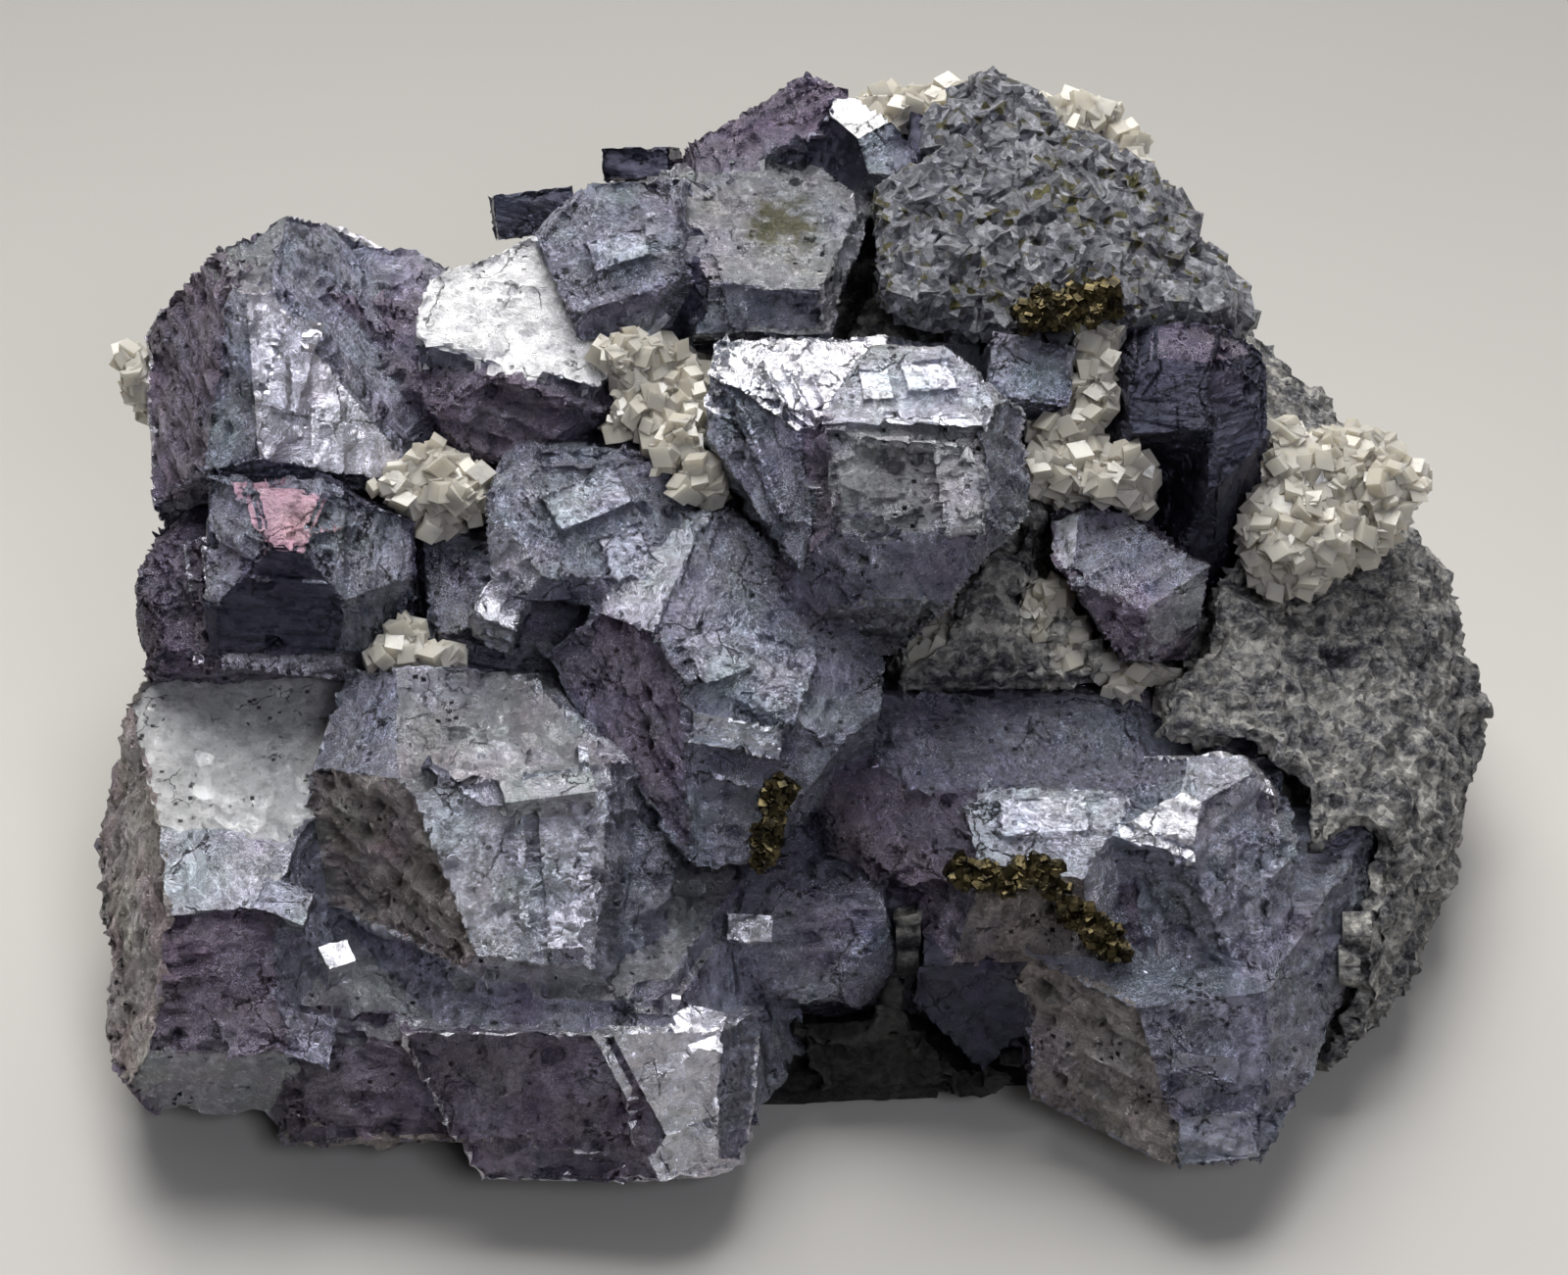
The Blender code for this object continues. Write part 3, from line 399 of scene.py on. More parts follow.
# Growth plates of each clump: crystal, face, finish, grid place, half sizes, how far it stands out, roll
PLATES = {
    "galena_lower_left": [
        (1, 0, "steel", (573, 893), (1.15, 4.0), 0.45, 4),
        (1, 0, "steel", (533, 880), (0.45, 3.4), 0.30, 3),
        (1, 0, "slate", (470, 800), (2.3, 0.5), 0.35, -34),
        (1, 0, "steel", (600, 850), (0.4, 4.6), 0.25, 2),
        (1, 2, "ash", (560, 800), (2.6, 0.9), 0.35, 10),
        (1, 2, "ash", (500, 770), (2.0, 1.6), 0.25, -16),
        (0, 0, "violet", (255, 1050), (1.9, 1.6), 0.50, 16),
        (0, 0, "dusk", (318, 1060), (1.4, 1.5), 0.60, -14),
        (0, 1, "slate", (290, 915), (1.6, 1.2), 0.30, -20),
    ],
    "galena_centre_left": [
        (0, 0, "steel", (752, 752), (2.6, 1.0), 0.60, -11),
        (0, 0, "slate", (765, 800), (2.2, 0.4), 0.45, -12),
        (0, 2, "slate", (745, 660), (2.4, 1.6), 0.30, 18),
        (0, 2, "slate", (800, 690), (1.6, 2.6), 0.30, -24),
        (1, 0, "slate", (600, 505), (2.4, 1.4), 0.35, 24),
        (1, 0, "slate", (640, 560), (1.4, 1.6), 0.40, 20),
    ],
    "galena_centre_pair": [
        (0, 1, "steel", (948, 377), (1.5, 1.5), 0.50, 6),
        (0, 1, "steel", (894, 388), (0.95, 1.4), 0.35, 4),
        (0, 1, "steel", (953, 424), (2.7, 0.5), 0.30, -4),
        (0, 0, "ash", (930, 452), (2.9, 0.5), 0.35, -6),
        (0, 0, "ash", (980, 505), (1.2, 2.2), 0.30, 8),
        (1, 2, "silver", (790, 385), (0.35, 1.9), 0.35, 14),
        (1, 2, "silver", (815, 392), (0.35, 1.9), 0.35, 12),
        (1, 2, "silver", (838, 400), (0.3, 1.7), 0.30, 10),
        (1, 0, "slate", (770, 470), (0.5, 3.2), 0.35, 22),
    ],
    "galena_lower_right": [
        (4, 0, "slate", (1246, 1163), (2.3, 1.6), 0.40, 5),
        (4, 0, "dusk", (1230, 1090), (2.0, 0.9), 0.40, -8),
        (1, 0, "steel", (1065, 830), (2.4, 1.2), 0.25, 4),
        (3, 0, "slate", (1240, 940), (1.0, 2.8), 0.40, 4),
    ],
    "galena_upper_left": [
        (0, 0, "lilac", (300, 370), (1.2, 2.6), 0.30, -16),
    ],
    "galena_top": [
        (0, 0, "slate", (630, 250), (1.8, 1.2), 0.35, 20),
    ],
}
for clump, rows in PLATES.items():
    for index, *row in rows:
        GALENA[clump].append(plate_on(GALENA[clump][index], *row))
GALENA["galena_lower_left"].append(Cube("silver", (345, 972, 6.5), (0.9, 0.8, 1.6), (8, 27, 20)))


def set_linear(colour):
    """Linear colour of an sRGB hex string."""
    parts = [int(colour[i:i + 2], 16) / 255 for i in (1, 3, 5)]
    return [c / 12.92 if c <= 0.04045 else ((c + 0.055) / 1.055) ** 2.4 for c in parts]


def fill(node, inputs):
    """Links or sets a node's inputs, in order from a list, or by name or number from a dict.

    A hex colour is sRGB. A MapRange list is its value, from min, from max, to min and to max.
    """
    for key, value in inputs.items() if isinstance(inputs, dict) else enumerate(inputs):
        if isinstance(value, bpy.types.NodeSocket):
            node.id_data.links.new(value, node.inputs[key])
        elif isinstance(value, str) and value.startswith("#"):
            node.inputs[key].default_value = (*set_linear(value), 1)
        else:
            node.inputs[key].default_value = value


def add(tree, kind, inputs=(), out=0, **settings):
    """Adds a node with its settings and inputs, and gives one of its outputs, or the node for None.

    A kind that names no family is a shader node.
    """
    family = "" if kind.startswith(("Geometry", "Function", "NodeGroup")) else "ShaderNode"
    node = tree.nodes.new(family + kind)
    for name, value in settings.items():
        setattr(node, name, value)
    fill(node, inputs)
    return node if out is None else node.outputs[out]


def new_material(name):
    """A named material, its tree, its shader, and the piece's own places in millimetres."""
    made = bpy.data.materials.new(name)
    made.use_nodes = True
    tree = made.node_tree
    spot = add(tree, "TexCoord", out="Object")
    mm = add(tree, "VectorMath", {0: spot, 3: 1000.0}, operation="SCALE")
    return made, tree, tree.nodes["Principled BSDF"], mm


def new_tree(name, numbers, **others):
    """A tree that works on a mesh, with named inputs, and the sockets that those come from."""
    tree = bpy.data.node_groups.new(name, "GeometryNodeTree")
    kinds = {"Geometry": "Geometry", **{number: "Float" for number in numbers}, **others}
    for socket, kind in kinds.items():
        tree.interface.new_socket(socket, in_out="INPUT", socket_type="NodeSocket" + kind)
    tree.interface.new_socket("Geometry", in_out="OUTPUT", socket_type="NodeSocketGeometry")
    return tree, add(tree, "NodeGroupInput", out=None).outputs


def turned_by_grain(tree, grains, sway):
    """The surface's direction, turned a little another way on each grain."""
    normal = add(tree, "NewGeometry", out="Normal")
    lean = add(tree, "VectorMath", [grains.outputs["Color"], (0.5, 0.5, 0.5)], operation="SUBTRACT")
    turn = add(tree, "VectorMath", {0: lean, 3: sway}, operation="SCALE")
    turned = add(tree, "VectorMath", [normal, turn], operation="ADD")
    return add(tree, "VectorMath", [turned], operation="NORMALIZE")


def new_piece(name, shape):
    """Links a bmesh in metres as a named object."""
    mesh = bpy.data.meshes.new(name)
    shape.to_mesh(mesh)
    shape.free()
    piece = bpy.data.objects.new(name, mesh)
    bpy.context.scene.collection.objects.link(piece)
    return piece


def settle(piece):
    """Applies a piece's modifiers to its mesh."""
    graph = bpy.context.evaluated_depsgraph_get()
    mesh = bpy.data.meshes.new_from_object(piece.evaluated_get(graph), depsgraph=graph)
    piece.modifiers.clear()
    old = piece.data
    piece.data = mesh
    bpy.data.meshes.remove(old)
    return piece


def in_metres(shape):
    """Scales a bmesh from millimetres to metres."""
    shape.transform(Matrix.Scale(MM, 4))
    return shape


def join_all(piece, shapes):
    """Joins a piece with more closed shapes into one solid."""
    for shape in shapes:
        other = new_piece("joined", shape)
        modifier = piece.modifiers.new("join", "BOOLEAN")
        modifier.operation = "UNION"
        modifier.solver = "MANIFOLD"
        modifier.object = other
        settle(piece)
        bpy.data.objects.remove(other)
    return piece


def size_of(crystal):
    """The side, in millimetres, of a cube with the crystal's volume."""
    shape = crystal.mesh([0.0] * len(crystal.faces))
    volume = shape.calc_volume()
    shape.free()
    return volume ** (1 / 3)


def grown_shapes(crystal, chance):
    """The body of a crystal and the growth plates that lie on it, all parallel to its faces.

    A plate is the whole crystal again, with up to four of its faces set back by a share of its size
    and the rest by a step of up to half a millimetre. A crystal with under three plates stays plain.
    """
    count = len(crystal.faces)
    if crystal.plates < 3:
        return [in_metres(crystal.mesh([-0.05] * count))]
    size = size_of(crystal)
    shapes = [in_metres(crystal.mesh([-min(0.7, 0.07 * size)] * count))]
    for turn in range(crystal.plates * 3):
        height = chance.choices((0.0, 0.18, 0.34, 0.5), (1, 2, 3, 3))[0] if turn else 0.0
        moves = [-height * chance.uniform(0.6, 1.2) * min(1, size / 9) for _ in range(count)]
        for number in chance.sample(range(count), min(4, count - 2)):
            moves[number] = -chance.choice((0.0, 0.07, 0.15, 0.26)) * chance.uniform(0.7, 1.3) * size
        shape = crystal.mesh(moves)
        if len(shape.faces) > 3 and shape.calc_volume() > 2.0:
            shapes.append(in_metres(shape))
        else:
            shape.free()
    return shapes


def facet_looks(piece, crystals):
    """Gives every face of a clump the finish of the crystal face that it lies on.

    tint holds the colour, polish the roughness, and grit, rib and spark the strengths of the
    pits, ribs and sparkle. lean is how far the facet's reflections tip to the front, and along is
    the direction across its ribs.
    """
    spots, normals, owners, ribs, looks = [], [], [], [], []
    for index, crystal in enumerate(crystals):
        # small crystals have calmer faces, and those past 9 mm have the full relief
        calm = min(1, 0.35 + size_of(crystal) / 14)
        for number, (spot, normal) in enumerate(crystal.faces):
            spots.append(spot)
            normals.append(normal)
            owners.append(index)
            near = [n for _, n in crystal.faces if 0.05 < n.dot(normal) < 0.95]
            near = near or [SIDE @ Vector((0.3, 0.9, 0.2))]
            edge = near[number % len(near)].cross(normal).normalized()
            ribs.append(edge.cross(normal).normalized())
            colour, polish, grit, rib, spark, lean = FINISHES[crystal.finishes[number]]
            looks.append((colour, polish, grit * calm, rib * calm, spark, lean))
    spots, normals, ribs = np.array(spots), np.array(normals), np.array(ribs)
    owners = np.array(owners)
    mesh = piece.data
    count = len(mesh.polygons)
    centres = np.zeros(count * 3)
    facing = np.zeros(count * 3)
    mesh.polygons.foreach_get("center", centres)
    mesh.polygons.foreach_get("normal", facing)
    centres = centres.reshape(-1, 3) / MM
    facing = facing.reshape(-1, 3)
    lift = centres @ normals.T - (spots * normals).sum(1)
    outside = np.stack([lift[:, owners == i].max(1) for i in range(len(crystals))], 1)
    # a face belongs to the facet that it lies near and looks like. Past wall mm from a facet it is the
    # wall of a growth step, and takes the finish of the facet that it stands on
    wall = 0.8
    cost = np.abs(lift) + 15 * np.maximum(np.abs(lift) - wall, 0) + 25 * (1 - facing @ normals.T)
    cost += 3 * np.maximum(outside, 0)[:, owners]
    best = cost.argmin(1)
    tints = np.array([set_linear(look[0]) + [1] for look in looks])[best]
    tint = mesh.attributes.new("tint", "FLOAT_COLOR", "FACE")
    tint.data.foreach_set("color", tints.ravel())
    for name, column in (("polish", 1), ("grit", 2), ("rib", 3), ("spark", 4), ("lean", 5)):
        layer = mesh.attributes.new(name, "FLOAT", "FACE")
        layer.data.foreach_set("value", np.array([look[column] for look in looks])[best])
    along = mesh.attributes.new("along", "FLOAT_VECTOR", "FACE")
    along.data.foreach_set("vector", ribs[best].ravel())


def crystal_relief():
    """The growth relief of a crystal: plates square to its ribs, curved terraces, pits and grain."""
    tree, given = new_tree("crystal_relief", ("Plate", "Rib", "Terrace", "Pit", "Grain", "Seed"))
    spot = add(tree, "GeometryNodeInputPosition")
    mm = add(tree, "VectorMath", {0: spot, 3: 1000.0}, operation="SCALE")
    grit = add(tree, "GeometryNodeInputNamedAttribute", {"Name": "grit"}, out="Attribute")
    along = add(tree, "GeometryNodeInputNamedAttribute", {"Name": "along"}, data_type="FLOAT_VECTOR")
    normal = add(tree, "GeometryNodeInputNormal")
    run = add(tree, "VectorMath", [normal, along], operation="CROSS_PRODUCT")
    across_at = add(tree, "VectorMath", [mm, along], operation="DOT_PRODUCT", out="Value")
    along_at = add(tree, "VectorMath", [mm, run], operation="DOT_PRODUCT", out="Value")
    slow = add(tree, "Math", [along_at, 0.45], operation="MULTIPLY")
    slower = add(tree, "Math", [along_at, 0.14], operation="MULTIPLY")
    lined = add(tree, "CombineXYZ", [across_at, slower])
    # grooves between the ribs, about a millimetre apart and seven times as long
    wave = add(tree, "TexNoise", {"Vector": lined, "Scale": 0.95, "Detail": 3.0, "Roughness": 0.7})
    rib = add(tree, "GeometryNodeInputNamedAttribute", {"Name": "rib"}, out="Attribute")
    grooves = add(tree, "MapRange", [wave, 0.36, 0.56, 1.0, 0.0])
    ribbed = add(tree, "Math", [grooves, rib], operation="MULTIPLY")
    ribs = add(tree, "Math", [ribbed, given["Rib"]], operation="MULTIPLY")
    laid = add(tree, "CombineXYZ", [across_at, slow])
    # growth plates about 2 mm wide, with smaller ones of 0.7 mm on them in drifts
    wide = add(tree, "TexVoronoi", {"Vector": laid, "Scale": 0.55}, distance="CHEBYCHEV", out="Color")
    small = add(tree, "TexVoronoi", {"Vector": laid, "Scale": 1.5}, distance="CHEBYCHEV", out="Color")
    wide_up = add(tree, "SeparateXYZ", [wide])
    small_up = add(tree, "SeparateXYZ", [small])
    some = add(tree, "TexNoise", {"Vector": mm, "Scale": 0.3, "Detail": 2.0})
    where = add(tree, "MapRange", [some, 0.42, 0.6])
    small_here = add(tree, "Math", [small_up, where], operation="MULTIPLY")
    plates = add(tree, "Math", [small_here, 0.7, wide_up], operation="MULTIPLY_ADD")
    plate_high = add(tree, "Math", [plates, given["Plate"]], operation="MULTIPLY")
    plate = add(tree, "Math", [plate_high, grit], operation="MULTIPLY")
    broad = add(tree, "TexNoise", {"Vector": mm, "W": given["Seed"], "Scale": 0.16, "Detail": 1.5},
                noise_dimensions="4D")
    # broad terraces in three heights
    many = add(tree, "Math", [broad, 10.0], operation="MULTIPLY")
    steps = add(tree, "Math", [many], operation="FLOOR")
    odd = add(tree, "Math", [steps, 3.0], operation="MODULO")
    terrace = add(tree, "Math", [odd, given["Terrace"]], operation="MULTIPLY")
    # pits about half a millimetre wide, in the same drifts as the smaller plates
    cells = add(tree, "TexVoronoi", {"Vector": mm, "Scale": 0.62, "Randomness": 1.0})
    dent = add(tree, "MapRange", [cells, 0.16, 0.3, 1.0, 0.0])
    dents = add(tree, "Math", [dent, where], operation="MULTIPLY")
    gritty = add(tree, "Math", [dents, grit], operation="MULTIPLY")
    pits = add(tree, "Math", [gritty, given["Pit"]], operation="MULTIPLY")
    fine = add(tree, "TexNoise", {"Vector": mm, "Scale": 1.3, "Detail": 4.0, "Roughness": 0.7})
    rough = add(tree, "Math", [fine, given["Grain"]], operation="MULTIPLY")
    grain = add(tree, "Math", [rough, grit], operation="MULTIPLY")
    total = terrace
    for part in (pits, grain, plate, ribs):
        total = add(tree, "Math", [total, part], operation="ADD")
    depth = add(tree, "Math", [total, -MM], operation="MULTIPLY")
    move = add(tree, "VectorMath", {0: normal, 3: depth}, operation="SCALE")
    moved = add(tree, "GeometryNodeSetPosition", {"Geometry": given["Geometry"], "Offset": move})
    add(tree, "NodeGroupOutput", [moved], out=None)
    return tree


def run_tree(piece, tree, **values):
    """Runs a node tree on a piece with its inputs set by name, and keeps the result."""
    modifier = piece.modifiers.new("made", "NODES")
    modifier.node_group = tree
    keys = {item.name: item.identifier for item in tree.interface.items_tree if item.in_out == "INPUT"}
    for name, value in values.items():
        modifier[keys[name.replace("_", " ")]] = value
    return settle(piece)


def sharpen(piece, degrees):
    """Smooth faces that meet in sharp edges where they turn by more than the angle."""
    for face in piece.data.polygons:
        face.use_smooth = True
    piece.data.set_sharp_from_angle(angle=math.radians(degrees))
    return piece


def finish_with(piece, made):
    """Gives a piece its only material."""
    piece.data.materials.clear()
    piece.data.materials.append(made)
    for face in piece.data.polygons:
        face.material_index = 0
    return piece


def galena_clump(name, tree, made, number):
    """One clump with its growth steps, relief and facet finishes."""
    chance = random.Random(40 + number)
    shapes = []
    for crystal in GALENA[name]:
        shapes += grown_shapes(crystal, chance)
    piece = join_all(new_piece(name + "_crystals", shapes[0]), shapes[1:])
    # a mesh fine enough for the relief, in twice as many steps where the clump is over 14 mm long
    low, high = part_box(name)[:2]
    size = max(high - low) / MM
    remesh = piece.modifiers.new("even", "REMESH")
    remesh.mode = "SHARP"
    remesh.scale = 0.9
    remesh.octree_depth = 7 if size > 14 else 6
    remesh.use_remove_disconnected = False
    settle(piece)
    facet_looks(piece, GALENA[name])
    run_tree(piece, tree, Plate=0.4, Rib=0.38, Terrace=0.1, Pit=0.9, Grain=0.3, Seed=float(number))
    shape = bmesh.new()
    shape.from_mesh(piece.data)
    cut_off(shape, Vector((0, 0, FLOOR_CLEARANCE * MM)), Vector((0, 0, -1)))
    shape.to_mesh(piece.data)
    shape.free()
    sharpen(piece, 32)
    finish_with(piece, made)
    return give(piece, name)


def galena_material():
    """Galena, lead sulphide: a lead-grey metal lustre with a violet tarnish, ribbed by its growth.

    Each facet's colour, with the painted highlights and shade of its finish, and its roughness, ribs and
    lean come from the attributes that facet_looks gives it.
    """
    made, tree, shader, mm = new_material("galena_crystal")
    tint, polish, grit, rib, spark, along = (
        add(tree, "Attribute", attribute_name=name, out=out)
        for name, out in (("tint", "Color"), ("polish", "Fac"), ("grit", "Fac"), ("rib", "Fac"),
                          ("spark", "Fac"), ("along", "Vector"))
    )
    normal = add(tree, "NewGeometry", out="Normal")
    # places across, along and off the facet, so that marks run with its ribs
    run = add(tree, "VectorMath", [normal, along], operation="CROSS_PRODUCT")
    across_at = add(tree, "VectorMath", [mm, along], operation="DOT_PRODUCT", out="Value")
    along_at = add(tree, "VectorMath", [mm, run], operation="DOT_PRODUCT", out="Value")
    slow = add(tree, "Math", [along_at, 0.22], operation="MULTIPLY")
    ribbed = add(tree, "CombineXYZ", [across_at, slow])
    # ribs 0.15 to 0.4 mm apart, breaking off along their length
    ribs = add(tree, "TexNoise", {"Vector": ribbed, "Scale": 2.6, "Detail": 4.0, "Roughness": 0.65})
    # dashes: cells four times longer than wide, each tilted its own way, which catch the light
    dashes = add(tree, "TexVoronoi", {"Vector": ribbed, "Scale": 3.2}, out="Color")
    tilt = add(tree, "VectorMath", [dashes, (0.5, 0.5, 0.5)], operation="SUBTRACT")
    grains = add(tree, "TexVoronoi", {"Vector": mm, "Scale": 3.4}, out="Color")
    grain_tilt = add(tree, "VectorMath", [grains, (0.5, 0.5, 0.5)], operation="SUBTRACT")
    little = add(tree, "VectorMath", {0: grain_tilt, 3: 0.5}, operation="SCALE")
    tilts = add(tree, "VectorMath", [tilt, little], operation="ADD")
    patchy = add(tree, "TexNoise", {"Vector": mm, "Scale": 0.36, "Detail": 4.0, "Roughness": 0.65})
    glitter = add(tree, "MapRange", [patchy, 0.42, 0.6, 0.05, 1.15])
    glittering = add(tree, "Math", [glitter, spark], operation="MULTIPLY")
    swayed = add(tree, "VectorMath", {0: tilts, 3: glittering}, operation="SCALE")
    # growth plates a millimetre or two across, each tilted a little
    mosaic = add(tree, "TexVoronoi", {"Vector": ribbed, "Scale": 0.75}, out="Color")
    uneven = add(tree, "VectorMath", [mosaic, (0.5, 0.5, 0.5)], operation="SUBTRACT")
    less = add(tree, "Math", [spark, 0.6], operation="MULTIPLY")
    plate = add(tree, "VectorMath", {0: uneven, 3: less}, operation="SCALE")
    leaned = add(tree, "VectorMath", [swayed, plate], operation="ADD")
    forward = add(tree, "Attribute", attribute_name="lean", out="Fac")
    shingled = add(tree, "VectorMath", {0: tuple(SIDE.col[2]), 3: forward}, operation="SCALE")
    tipped = add(tree, "VectorMath", [leaned, shingled], operation="ADD")
    turned = add(tree, "VectorMath", [normal, tipped], operation="ADD")
    facing = add(tree, "VectorMath", [turned], operation="NORMALIZE")
    # pits 0.2 to 0.5 mm wide, in drifts, with painted shade inside them
    pit_cells = add(tree, "TexVoronoi", {"Vector": mm, "Scale": 1.5}, distance="CHEBYCHEV")
    drift = add(tree, "TexNoise", {"Vector": mm, "Scale": 0.42, "Detail": 3.0})
    pitted = add(tree, "MapRange", [pit_cells, 0.12, 0.2, 1.0, 0.0])
    where = add(tree, "MapRange", [drift, 0.46, 0.56])
    pit_here = add(tree, "Math", [pitted, where], operation="MULTIPLY")
    pits = add(tree, "Math", [pit_here, grit], operation="MULTIPLY", use_clamp=True)
    # tarnish drifts between violet, blue and brown over a few millimetres
    hue = add(tree, "TexNoise", {
        "Vector": mm, "Scale": 0.3, "Detail": 4.0, "Roughness": 0.6}, out="Color")
    film = add(tree, "Mix", {
        "Factor": 0.16, 6: tint, 7: hue}, data_type="RGBA", blend_type="OVERLAY", out=2)
    mottle = add(tree, "TexNoise", {"Vector": mm, "Scale": 1.1, "Detail": 6.0, "Roughness": 0.7})
    shade = add(tree, "MapRange", [mottle, 0.38, 0.62, 0.7, 1.2])
    # painted shade: the grooves between the ribs are darkened, down to 0.55 where the ribs sink
    groove_shade = add(tree, "MapRange", [ribs, 0.36, 0.52, 0.55, 1.0])
    groove_shading = add(tree, "Mix", {"Factor": rib, 6: (1, 1, 1, 1), 7: groove_shade}, data_type="RGBA", out=2)
    shades = add(tree, "Mix", {
        "Factor": 1.0, 6: shade, 7: groove_shading}, data_type="RGBA", blend_type="MULTIPLY", out=2)
    shaded = add(tree, "Mix", {
        "Factor": 1.0, 6: film, 7: shades}, data_type="RGBA", blend_type="MULTIPLY", out=2)
    # hairline cracks, wandering, that break off
    warp = add(tree, "TexNoise", {
        "Vector": mm, "Scale": 0.9, "Detail": 5.0, "Roughness": 0.7}, out="Color")
    wander = add(tree, "Mix", {
        "Factor": 1.0, 6: mm, 7: warp}, data_type="RGBA", blend_type="ADD", out=2)
    walls = add(tree, "TexVoronoi", {"Vector": wander, "Scale": 0.33}, feature="DISTANCE_TO_EDGE")
    hair = add(tree, "MapRange", [walls, 0.004, 0.014, 0.8, 0.0])
    some = add(tree, "MapRange", [drift, 0.52, 0.57])
    cracks = add(tree, "Math", [hair, some], operation="MULTIPLY")
    marks = add(tree, "Math", [pits, cracks], operation="MAXIMUM")
    # the pits and hairline cracks are coloured near black: in the pits this is painted shade
    dark = add(tree, "Mix", {
        "Factor": marks, 6: shaded, 7: (0.02, 0.018, 0.022, 1)}, data_type="RGBA", out=2)
    wear = add(tree, "MapRange", [mottle, 0.3, 0.7, 0.12, -0.08])
    rough = add(tree, "Math", [polish, wear], operation="ADD")
    rib_height = add(tree, "Math", [ribs, rib], operation="MULTIPLY")
    pit_height = add(tree, "Math", [marks, -0.6], operation="MULTIPLY")
    sand = add(tree, "TexNoise", {"Vector": mm, "Scale": 3.5, "Detail": 5.0, "Roughness": 0.75})
    sand_height = add(tree, "Math", [sand, grit], operation="MULTIPLY")
    first = add(tree, "Math", [rib_height, pit_height], operation="ADD")
    height = add(tree, "Math", [first, sand_height], operation="ADD")
    bump = add(tree, "Bump", {
        "Strength": 1.0, "Distance": 0.32 * MM, "Height": height, "Normal": facing})
    # olive dust on one crystal at the top
    middle = seen_on(796, 221, *GALENA["galena_top"][1].faces[0])
    away = add(tree, "VectorMath", [mm, tuple(middle)], operation="DISTANCE", out="Value")
    ragged = add(tree, "Math", [mottle, 5.0, away], operation="MULTIPLY_ADD")
    dust = add(tree, "MapRange", [ragged, 3.6, 4.9, 0.8, 0.0])
    dusty = add(tree, "Mix", {"Factor": dust, 6: dark, 7: "#6C6B48"}, data_type="RGBA", out=2)
    fill(shader, {"Base Color": dusty, "Roughness": rough, "Normal": bump, "Metallic": 0.9})
    return made


def rock_material():
    """Altered silicate host rock: grey-green, sugary, with pale and dark flecks and oblique bands."""
    made, tree, shader, mm = new_material("granular_host_rock")
    stretched = add(tree, "Mapping", {
        "Vector": mm, "Rotation": (0.5, 0.3, 0.6), "Scale": (0.4, 1.7, 1.7)})
    bands = add(tree, "TexNoise", {"Vector": stretched, "Scale": 0.3, "Detail": 8.0, "Roughness": 0.72})
    sugar = add(tree, "TexNoise", {"Vector": mm, "Scale": 1.5, "Detail": 8.0, "Roughness": 0.8})
    mixed = add(tree, "Math", [bands, sugar], operation="ADD")
    spread = add(tree, "MapRange", [mixed, 0.78, 1.22])
    ramp = add(tree, "ValToRGB", [spread], out=None)
    stops = [
        (0.0, "#101014"), (0.22, "#4C4C52"), (0.42, "#8E8D8E"), (0.58, "#B4B2AB"), (0.78, "#D2CFC6"),
        (1.0, "#F6F3EC"),
    ]
    ramp.color_ramp.elements.remove(ramp.color_ramp.elements[0])
    ramp.color_ramp.elements[0].position = stops[0][0]
    ramp.color_ramp.elements[0].color = (*set_linear(stops[0][1]), 1)
    for place, colour in stops[1:]:
        ramp.color_ramp.elements.new(place).color = (*set_linear(colour), 1)
    # grains about 0.4 mm wide, each a little lighter or darker
    grains = add(tree, "TexVoronoi", {"Vector": mm, "Scale": 2.6}, out=None)
    each = add(tree, "SeparateColor", [grains.outputs["Color"]])
    shade = add(tree, "MapRange", {"Value": each, "To Min": 0.45, "To Max": 1.55})
    grained = add(tree, "Mix", {
        "Factor": 1.0, 6: ramp.outputs[0], 7: shade}, data_type="RGBA", blend_type="MULTIPLY", out=2)
    # painted shade: the foot of the front, under the crystals, is darkened where the overhang shades it
    foot = add(tree, "VectorMath", [mm, (-0.35, -0.75, -0.5)], operation="DOT_PRODUCT", out="Value")
    foot_shade = add(tree, "MapRange", [foot, 1.5, 7.5, 1.0, 0.08])
    foot_shaded = add(tree, "Mix", {
        "Factor": 1.0, 6: grained, 7: foot_shade}, data_type="RGBA", blend_type="MULTIPLY", out=2)
    facing = turned_by_grain(tree, grains, 1.1)
    bump = add(tree, "Bump", {"Strength": 1.0, "Distance": 0.5 * MM, "Height": sugar, "Normal": facing})
    fill(shader, {"Base Color": foot_shaded, "Normal": bump, "Roughness": 0.5})
    return made


def ore_material():
    """Fine-grained galena ore, dark and rough, with bright grains and specks of green-gold pyrite."""
    made, tree, shader, mm = new_material("fine_grained_ore")
    grains = add(tree, "TexVoronoi", {"Vector": mm, "Scale": 2.2}, out=None)
    each = add(tree, "SeparateColor", [grains.outputs["Color"]], out=None)
    base = add(tree, "Mix", {
        "Factor": each.outputs[0], 6: "#62626C", 7: "#D2D3DA"}, data_type="RGBA", out=2)
    drift = add(tree, "TexNoise", {"Vector": mm, "Scale": 0.35, "Detail": 5.0, "Roughness": 0.65})
    chosen = add(tree, "Math", [each.outputs[1], drift], operation="MULTIPLY")
    gold = add(tree, "MapRange", [chosen, 0.40, 0.5])
    colour = add(tree, "Mix", {"Factor": gold, 6: base, 7: "#6E6A4A"}, data_type="RGBA", out=2)
    fine = add(tree, "TexNoise", {"Vector": mm, "Scale": 1.8, "Detail": 8.0, "Roughness": 0.78})
    shade = add(tree, "MapRange", [fine, 0.38, 0.62, 0.4, 1.4])
    shaded = add(tree, "Mix", {
        "Factor": 1.0, 6: colour, 7: shade}, data_type="RGBA", blend_type="MULTIPLY", out=2)
    facing = turned_by_grain(tree, grains, 1.2)
    bump = add(tree, "Bump", {"Strength": 1.0, "Distance": 0.4 * MM, "Height": fine, "Normal": facing})
    fill(shader, {"Base Color": shaded, "Normal": bump, "Roughness": 0.36, "Metallic": 0.7})
    return made


